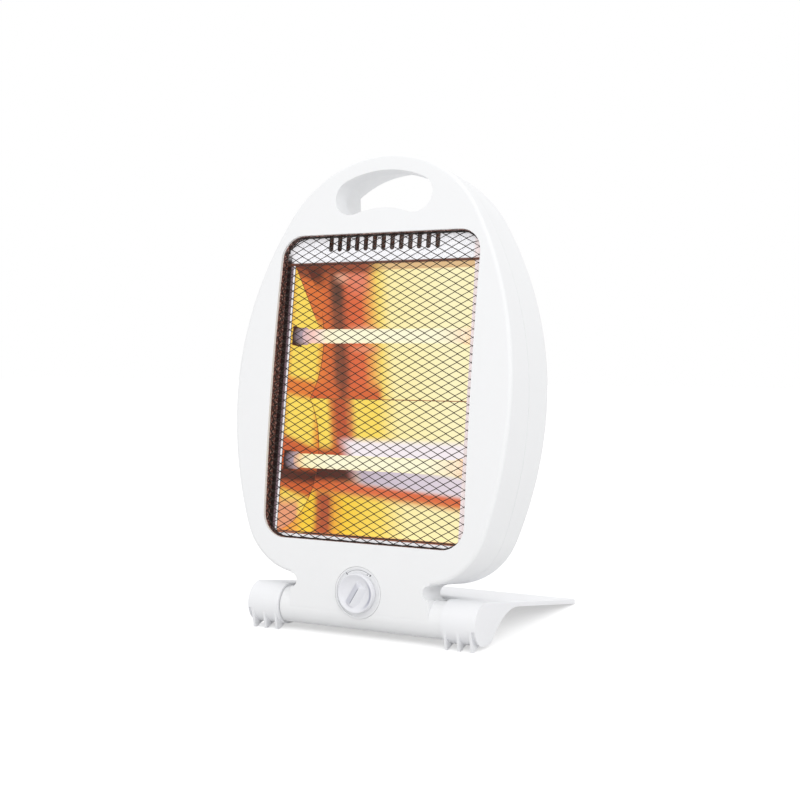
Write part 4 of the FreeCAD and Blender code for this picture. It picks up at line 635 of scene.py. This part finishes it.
FLANGE_LAYERS = [
    # painted light a little at the right, painted shade beside the guard at the left
    (srgb(240, 226, 226), ("across", 83, FAR, 1)),
    (srgb(120, 100, 108), ("across", -FAR, -85.6, 0.4), ("height", -FAR, 288, 3)),
    (srgb(30, 20, 20), ("across", -FAR, -87.8, 0.8), ("height", -FAR, 292, 5)),
    # the edges above and below the troughs
    (srgb(96, 54, 40), ("height", 284.2, 286.6, 0.6)),
    (srgb(150, 88, 62), ("height", 58.7, 60.0, 0.3)),
]


def painted_trough_reflection(name, run, layers, trough):
    """The painted reflection of the glow in a trough: colours along the slant, and the layers
    over them.
    """
    material, tree, shader = new_material(name)
    ways = heater_ways(tree)
    ways["falling"] = tilted(tree, ways["height"], ways["slant"], FALLING_SHARE)
    ways["leaning"] = tilted(tree, ways["slant"], ways["height"], LEANING_SHARE)
    ways["away"] = distance_from(tree, ways, trough)
    colour = lay_over(tree, ways, colour_run(tree, ways["slant"], run), layers + [
        (SEAM_BROWN, ("across", -FAR, -TROUGH_HALF_LENGTH + 0.6, 0.1), ("height", -FAR, 250, 6)),
        # the outside of the trough, painted dark as unlit
        (UNLIT, ("away", trough[2] + 0.2, FAR, 0.15)),
    ])
    light_up(tree, shader, mottled(tree, colour, scale=30.0, low=0.97, high=1.0))
    return material


def painted_end_wall_reflection():
    """The end walls' painted reflection: yellow, with orange patches, painted shade round the
    tubes' ends and an unlit outside.
    """
    material, tree, shader = new_material("reflector_end_sheet")
    ways = heater_ways(tree)
    ways["corner"] = tilted(tree, ways["height"], ways["depth"], CORNER_SHARE)
    ways["rising"] = tilted(tree, ways["height"], ways["depth"], RISING_SHARE)
    colour = lay_over(tree, ways, colour_run(tree, ways["depth"], END_RUN), END_LAYERS)
    light_up(tree, shader, mottled(tree, colour, scale=40.0, low=0.95, high=1.0))
    return material


def flange_finish():
    """Bright sheet: silver at the top, with painted shade beside the guard and a little painted
    light from the tubes glowing in it.
    """
    material, tree, shader = new_material("flange_sheet")
    ways = heater_ways(tree)
    colour = lay_over(tree, ways, FLANGE_SILVER, FLANGE_LAYERS)
    colour = mottled(tree, colour, scale=420.0, low=0.86, high=1.06)
    # the sheet's back, painted dark as unlit
    colour = lay_over(tree, ways, colour, [(UNLIT, ("depth", -12.9, FAR, 0.05))])
    paint_with_painted_light(tree, shader, colour, strength=0.45, roughness=0.32)
    return material


def tube_glow(name, left):
    """Hot quartz: tinted at its ends, cream along its length."""
    material, tree, shader = new_material(name)
    light_up(tree, shader, colour_run(tree, heater_ways(tree)["across"], left + [
        (-40, CREAM), (50, CREAM), (66, srgb(255, 242, 206)), (78, srgb(252, 222, 190)),
    ]))
    shader.inputs["Coat Weight"].default_value = 0.4
    return material


# The knob and the dial

INK = srgb(84, 84, 92)
DIAL_LAYERS = [
    (INK, ("radius", low, high, 0.08), ("turned", start, end, softness))
    for low, high, start, end, softness in (
        (18.05, 18.35, -ARC_HALF, ARC_HALF, 0.006),
        (17.1, 19.2, -ARC_HALF - MARK_TURN, -ARC_HALF + 0.01, 0.01),
        (17.1, 19.2, ARC_HALF - 0.01, ARC_HALF + MARK_TURN, 0.01),
        (16.5, 17.3, ARC_HALF - 0.16, ARC_HALF - 0.11, 0.01),
    )
]
# painted shade in the right of the knob's dish and beside the grip, and a dark line along the
# grip
KNOB_LAYERS = [
    (srgb(168, 170, 186), ("radius", 12.2, 14.7, 1.0), ("turned", 1.0, 2.4, 0.5)),
    (srgb(206, 207, 216), ("aside", -5.6, 0.4, 1.0), ("along", -13.0, 8.0, 2.5)),
    (srgb(132, 134, 146), ("aside", 0.1, 0.9, 0.4), ("along", -11.0, 6.0, 2.0)),
]


def painted_plastic(name, colour, layers):
    """White plastic with layers painted on it by their place on the dial. The dial has a thin
    printed arc, its end marks and a dot; the knob has painted shade beside its grip and in its
    dish, and a dark line along the grip."""
    material = plastic(name, colour, roughness=0.4)
    tree = material.node_tree
    base = tree.nodes["Principled BSDF"].inputs["Base Color"]
    painted = lay_over(tree, dial_ways(tree), base.links[0].from_socket, layers)
    tree.links.new(painted, base)
    return material


# Other finishes

def braid_finish():
    """Heat-proof braided sleeving."""
    material, tree, shader = new_material("lead_insulation")
    place = add_node(tree, "ShaderNodeTexCoord")
    weave = add_node(tree, "ShaderNodeTexVoronoi", {"Scale": 1900.0})
    colour = add_node(tree, "ShaderNodeValToRGB")
    bump = add_node(tree, "ShaderNodeBump", {"Strength": 0.8, "Distance": 0.0002})
    colour.color_ramp.elements[0].color = srgb(214, 208, 190)
    colour.color_ramp.elements[1].color = srgb(168, 160, 140)
    tree.links.new(place.outputs["Object"], weave.inputs["Vector"])
    tree.links.new(weave.outputs["Distance"], colour.inputs["Fac"])
    tree.links.new(weave.outputs["Distance"], bump.inputs["Height"])
    tree.links.new(colour.outputs["Color"], shader.inputs["Base Color"])
    tree.links.new(bump.outputs["Normal"], shader.inputs["Normal"])
    shader.inputs["Roughness"].default_value = 0.8
    return material


def hot_wire_finish():
    material, tree, shader = new_material("coil_wire")
    light_up(tree, shader, mottled(tree, srgb(255, 176, 92), scale=200.0, low=0.85, high=1.0))
    return material


def ceramic_finish():
    """Unglazed ceramic, with painted shade at the left and painted light from the tube at the
    right.
    """
    material, tree, shader = new_material("cap_ceramic")
    colour = colour_run(tree, heater_ways(tree)["across"], [
        (-86, srgb(44, 28, 28)), (-83, srgb(60, 42, 42)), (-79.5, srgb(120, 106, 116)),
        (-74, srgb(168, 152, 164)), (72, srgb(252, 236, 206)), (84, srgb(246, 220, 190)),
        (86, srgb(90, 60, 50)),
    ])
    colour = mottled(tree, colour, scale=300.0, low=0.85, high=1.05)
    paint_with_painted_light(tree, shader, colour, strength=0.5, roughness=0.75)
    return material


def band_finish():
    """Dark brown sheet with small bright specks, glowing a little with painted light from the
    tubes.
    """
    material, tree, shader = new_material("guard_band")
    place = add_node(tree, "ShaderNodeTexCoord")
    specks = add_node(tree, "ShaderNodeTexNoise", {"Scale": 620.0, "Detail": 2.0})
    colour = add_node(tree, "ShaderNodeValToRGB")
    stops = colour.color_ramp.elements
    stops[0].position, stops[0].color = 0.38, srgb(58, 32, 28)
    stops[1].position, stops[1].color = 0.68, srgb(196, 158, 148)
    stops.new(0.54).color = srgb(104, 62, 54)
    tree.links.new(place.outputs["Object"], specks.inputs["Vector"])
    tree.links.new(specks.outputs["Fac"], colour.inputs["Fac"])
    paint_with_painted_light(tree, shader, colour.outputs["Color"], strength=0.25, roughness=0.45)
    return material


white = plastic("cover_plastic", (0.905, 0.91, 0.92), roughness=0.5)
stand_white = plastic("stand_plastic", (0.90, 0.905, 0.925), roughness=0.5)
knob_white = painted_plastic("knob_plastic", (0.84, 0.845, 0.88), KNOB_LAYERS)
dark_wire = metal("guard_wire", (0.022, 0.015, 0.012), roughness=0.5, metallic=0.0)
# the guard's band: dark brown with specks, and a little painted light
speckled_band = band_finish()
black_plastic = plastic("switch_plastic", (0.02, 0.02, 0.022), roughness=0.5)
steel = metal("screw_steel", (0.62, 0.62, 0.63))
FINISHES = {
    "front_cover": white,
    "rear_cover": white,
    "folding_stand": stand_white,
    "dial_plate": painted_plastic("dial_plastic", (0.88, 0.885, 0.90), DIAL_LAYERS),
    "control_knob": knob_white,
    "switch_shaft": plastic("shaft_plastic", (0.6, 0.6, 0.6), roughness=0.5),
    "cover_screws": steel,
    "reflector_screws": steel,
    "switch_screws": steel,
    "clamp_screws": steel,
    "guard_mesh": dark_wire,
    "reflector_flange": flange_finish(),
    "reflector_upper": painted_trough_reflection(
        "reflector_upper_sheet", UPPER_RUN, UPPER_LAYERS, UPPER_TROUGH,
    ),
    "reflector_lower": painted_trough_reflection(
        "reflector_lower_sheet", LOWER_RUN, LOWER_LAYERS, LOWER_TROUGH,
    ),
    "reflector_end_left": painted_end_wall_reflection(),
    "tube_brackets": metal("bracket_steel", (0.42, 0.40, 0.37), streaks=(1, 1, 0.05)),
    "rotary_switch": black_plastic,
    "micro_switch": black_plastic,
    "tip_over_switch": black_plastic,
    "terminal_block": plastic("terminal_plastic", (0.72, 0.70, 0.64), roughness=0.55),
    "tip_over_weight": metal("weight_steel", (0.55, 0.55, 0.56), roughness=0.25),
    "thermal_cutout": metal("cutout_metal", (0.75, 0.75, 0.76), streaks=(0.05, 1, 1)),
    "cord_gland": plastic("gland_rubber", (0.70, 0.71, 0.73), roughness=0.6, grain=0.00006),
    "cord_clamp": plastic("clamp_plastic", (0.68, 0.68, 0.70), roughness=0.5),
    "supply_leads": braid_finish(),
    "upper_quartz_tube": tube_glow("upper_quartz_glass", [
        (-78, srgb(190, 168, 180)), (-73, srgb(222, 184, 186)), (-64, srgb(250, 204, 192)),
        (-58, srgb(252, 226, 210)), (-52, srgb(255, 244, 208)),
    ]),
    "lower_quartz_tube": tube_glow("lower_quartz_glass", [
        (-78, srgb(196, 170, 176)), (-73, srgb(226, 178, 150)), (-69, srgb(250, 214, 160)),
        (-64, srgb(255, 244, 192)),
    ]),
    "upper_heating_coil": hot_wire_finish(),
    "upper_cap_left": ceramic_finish(),
}
ALIKE = {
    "reflector_end_right": "reflector_end_left",
    "tube_leads_left": "supply_leads",
    "tube_leads_right": "supply_leads",
    "lower_heating_coil": "upper_heating_coil",
    "upper_cap_right": "upper_cap_left",
    "lower_cap_left": "upper_cap_left",
    "lower_cap_right": "upper_cap_left",
}
for name, node in nodes.items():
    node.data.materials.clear()
    node.data.materials.append(FINISHES[ALIKE.get(name, name)])


# Guard mesh

def rounded_offset(point):
    """The nearest point of the guard's flat area, the way out from it and how far out it is."""
    inner = GUARD_CORNER - GUARD_BEND
    reach_x = GUARD_HALF_WIDTH - GUARD_CORNER
    reach_z = (GUARD_HIGH - GUARD_LOW) / 2 - GUARD_CORNER
    x, z = point.x, point.z - GUARD_MIDDLE
    core = Vector((max(-reach_x, min(reach_x, x)), max(-reach_z, min(reach_z, z))))
    away = Vector((x, z)) - core
    if away.length <= inner:
        return Vector((x, z + GUARD_MIDDLE)), Vector((0, 0)), 0.0
    way = away.normalized()
    nearest = core + way * inner
    return Vector((nearest.x, nearest.y + GUARD_MIDDLE)), way, away.length - inner


def wrap_over_pan(point):
    """Bends a point of the flat mesh over the guard's edge and back along its skirt."""
    nearest, way, beyond = rounded_offset(point)
    turn = min(beyond / GUARD_BEND, math.pi / 2)
    out = GUARD_BEND * math.sin(turn)
    back = GUARD_BEND * (1 - math.cos(turn)) + max(0.0, beyond - GUARD_BEND * math.pi / 2)
    place = nearest + way * out
    depth = face_depth(place.y) + GUARD_SETBACK + back
    return Vector((place.x, min(depth, -GUARD_BACK), place.y))


def make_guard():
    """Expanded mesh: a grid turned on its corner, cut to shape, bent to a pan and given wires."""
    wide = 2 * GUARD_HALF_WIDTH / MESH_CELL_WIDTH
    tall = (GUARD_HIGH - GUARD_LOW) / MESH_CELL_HEIGHT
    count = int(wide + tall) + SPARE_CELLS
    side = count / math.sqrt(2)
    select_none()
    bpy.ops.mesh.primitive_grid_add(x_subdivisions=count, y_subdivisions=count, size=side)
    guard = named("guard_net")
    edit_all()
    bpy.ops.transform.rotate(value=math.pi / 4, orient_axis="Z", center_override=(0, 0, 0))
    bpy.ops.object.mode_set(mode="OBJECT")
    mesh = bmesh.new()
    mesh.from_mesh(guard.data)
    step = side / count / math.sqrt(2)
    for vertex in mesh.verts:
        across = vertex.co.x / step * MESH_CELL_WIDTH / 2
        up = vertex.co.y / step * MESH_CELL_HEIGHT / 2
        vertex.co = Vector((across, 0, GUARD_MIDDLE + up))
    gone = [vertex for vertex in mesh.verts if rounded_offset(vertex.co)[2] > GUARD_SKIRT]
    bmesh.ops.delete(mesh, geom=gone, context="VERTS")
    for vertex in mesh.verts:
        vertex.co = wrap_over_pan(vertex.co)
    loose = [vertex for vertex in mesh.verts if not vertex.link_edges]
    bmesh.ops.delete(mesh, geom=loose, context="VERTS")
    mesh.to_mesh(guard.data)
    mesh.free()
    pick(guard)
    wires = guard.modifiers.new("wires", "WIREFRAME")
    wires.thickness = MESH_WIRE
    wires.use_even_offset = False
    wires.use_boundary = True
    wires.use_replace = True
    apply_modifiers(guard)
    settle(guard, body_frame, "housing", dark_wire, ["guard_mesh"])


def band_outline():
    """Points along the middle of the band, with steps small enough for the curved face."""
    reach_x = BAND_HALF_WIDTH - GUARD_CORNER
    reach_z = GUARD_MIDDLE - GUARD_LOW + BAND_MARGIN - GUARD_CORNER
    points = []
    for quarter in range(4):
        side_x = 1 if quarter in (0, 3) else -1
        side_z = 1 if quarter in (0, 1) else -1
        for step in range(CORNER_STEPS + 1):
            angle = (quarter + step / CORNER_STEPS) * math.pi / 2
            points.append(Vector((
                side_x * reach_x + GUARD_CORNER * math.cos(angle),
                side_z * reach_z + GUARD_CORNER * math.sin(angle),
            )))
    fine = []
    for start, end in zip(points, points[1:] + points[:1]):
        count = max(1, round((end - start).length / BAND_STEP))
        fine += [start.lerp(end, part / count) for part in range(count)]
    return [(point.x, point.y + GUARD_MIDDLE) for point in fine]


def make_guard_band():
    """The thin strip that holds the mesh's edge inside the window."""
    points = band_outline()
    select_none()
    bpy.ops.mesh.primitive_circle_add(vertices=len(points), radius=1)
    band = named("guard_band")
    edit_all()
    bpy.ops.mesh.extrude_region_move(TRANSFORM_OT_translate={"value": (0, 0, 1)})
    bpy.ops.object.mode_set(mode="OBJECT")
    for index, vertex in enumerate(band.data.vertices):
        across, height = points[index % len(points)]
        front = face_depth(height) + 2 * GUARD_SETBACK
        depth = front if index < len(points) else -GUARD_BACK
        vertex.co = (across, depth, height)
    sheet = band.modifiers.new("sheet", "SOLIDIFY")
    sheet.thickness = BAND_SHEET
    sheet.offset = 0
    apply_modifiers(band)
    edit_all()
    bpy.ops.mesh.normals_make_consistent(inside=False)
    bpy.ops.object.mode_set(mode="OBJECT")
    settle(band, body_frame, "housing", speckled_band)


make_guard()
make_guard_band()


# Knob

def make_bowl():
    """A shallow bowl turned from rings."""
    rings = list(KNOB_RIM)
    for part in range(1, DISH_RINGS + 1):
        radius = DISH_RADIUS * (1 - (part / DISH_REACH) ** DISH_CROWDING)
        drop = DISH_DEPTH * (1 - (radius / DISH_RADIUS) ** DISH_CURVE)
        rings.append((radius, KNOB_TOP - DISH_START - drop))
    select_none()
    bpy.ops.mesh.primitive_circle_add(
        vertices=KNOB_SIDES, radius=rings[0][0], location=(0, 0, rings[0][1]),
    )
    bowl = named("knob_bowl")
    bpy.ops.object.transform_apply(location=True, rotation=True, scale=True)
    edit_all()
    bpy.ops.mesh.edge_face_add()
    for (before, low), (radius, high) in zip(rings, rings[1:]):
        bpy.ops.mesh.extrude_region_move(TRANSFORM_OT_translate={"value": (0, 0, high - low)})
        share = radius / before
        bpy.ops.transform.resize(value=(share, share, 1), center_override=(0, 0, 0))
    bpy.ops.object.mode_set(mode="OBJECT")
    return bowl


def make_grip():
    """A rounded bar that narrows outwards, turned and shifted along itself."""
    middle = KNOB_TOP - GRIP_DROP
    select_none()
    bpy.ops.mesh.primitive_cube_add(size=1, location=(0, 0, middle))
    grip = named("knob_grip")
    grip.scale = GRIP_SIZE
    bpy.ops.object.transform_apply(location=True, rotation=True, scale=True)
    for vertex in grip.data.vertices:
        if vertex.co.z > middle:
            vertex.co.x *= GRIP_TAPER[0]
            vertex.co.y *= GRIP_TAPER[1]
    round_off = grip.modifiers.new("round_off", "BEVEL")
    round_off.width = GRIP_ROUNDING
    round_off.segments = 4
    round_off.limit_method = "NONE"
    apply_modifiers(grip)
    grip.data.transform(Matrix.Rotation(-GRIP_TURN, 4, "Z") @ Matrix.Translation(GRIP_SHIFT))
    return grip


def make_knob():
    """The bowl and the grip across it, as one piece."""
    knob = make_bowl()
    grip = make_grip()
    select_none()
    grip.select_set(True)
    knob.select_set(True)
    bpy.context.view_layer.objects.active = knob
    bpy.ops.object.join()
    bpy.ops.object.shade_smooth_by_angle(angle=SMOOTH_BELOW)
    face_out = Matrix.Rotation(math.pi / 2, 4, "X")
    settle(knob, dial_frame @ face_out, "knob", knob_white, ["control_knob"])


make_knob()


# Studio and camera

def make_floor():
    """A white floor that glows for the camera, so that only the heater's shadow shows on it."""
    select_none()
    bpy.ops.mesh.primitive_plane_add(size=FLOOR_SIDE, location=(0, 0, 0))
    floor = named("studio_floor")
    material, tree, shader = new_material("studio_floor")
    shader.inputs["Base Color"].default_value = (FLOOR_SHADE, FLOOR_SHADE, FLOOR_SHADE, 1)
    shader.inputs["Roughness"].default_value = 1.0
    shader.inputs["Specular IOR Level"].default_value = 0.0
    shader.inputs["Emission Color"].default_value = (1, 1, 1, 1)
    floor.data.materials.append(material)
    paths = add_node(tree, "ShaderNodeLightPath")
    seen = paths.outputs["Is Camera Ray"]
    for ray in ("Is Glossy Ray", "Is Transmission Ray"):
        either = add_node(tree, "ShaderNodeMath", operation="MAXIMUM")
        tree.links.new(seen, either.inputs[0])
        tree.links.new(paths.outputs[ray], either.inputs[1])
        seen = either.outputs["Value"]
    glow = add_node(tree, "ShaderNodeMath", {1: FLOOR_GLOW}, operation="MULTIPLY")
    tree.links.new(seen, glow.inputs[0])
    tree.links.new(glow.outputs["Value"], shader.inputs["Emission Strength"])


def make_world():
    """White all round, slightly weaker as a light than as a background."""
    world = bpy.data.worlds.new("studio_world")
    world.use_nodes = True
    bpy.context.scene.world = world
    tree = world.node_tree
    background = tree.nodes["Background"]
    background.inputs["Color"].default_value = (1, 1, 1, 1)
    paths = add_node(tree, "ShaderNodeLightPath")
    strength = add_node(tree, "ShaderNodeMapRange", {"To Min": WORLD_LIGHT, "To Max": 1.0})
    tree.links.new(paths.outputs["Is Camera Ray"], strength.inputs["Value"])
    tree.links.new(strength.outputs["Result"], background.inputs["Strength"])


def add_softbox(name, side, power, location):
    light = bpy.data.lights.new(name, "AREA")
    light.shape = "RECTANGLE"
    light.size = light.size_y = side
    light.energy = power
    lamp = bpy.data.objects.new(name, light)
    bpy.context.scene.collection.objects.link(lamp)
    lamp.location = location
    aim = Vector(LIGHT_TARGET) - Vector(location)
    lamp.rotation_euler = aim.to_track_quat("-Z", "Y").to_euler()


def make_camera():
    """The photograph's own view."""
    camera = bpy.data.cameras.new("camera")
    camera.sensor_width = SENSOR
    camera.lens = LENS_PIXELS / FRAME_PIXELS * SENSOR
    camera.clip_end = SEEN_AS_FAR_AS
    eye = bpy.data.objects.new("camera", camera)
    bpy.context.scene.collection.objects.link(eye)
    eye.location = (EYE_ACROSS, hinge.y - SOLVED_BEFORE_HINGE - EYE_BEFORE, EYE_HEIGHT)
    eye.rotation_euler = (math.pi / 2 - CAMERA_PITCH, 0, CAMERA_YAW)
    bpy.context.scene.camera = eye


make_floor()
make_world()
add_softbox("key_light", side=1.8, power=14, location=(1.3, -1.7, 1.5))
add_softbox("top_light", side=1.6, power=4, location=(-0.6, 0.4, 2.2))
make_camera()
bpy.context.scene.view_settings.view_transform = "Standard"
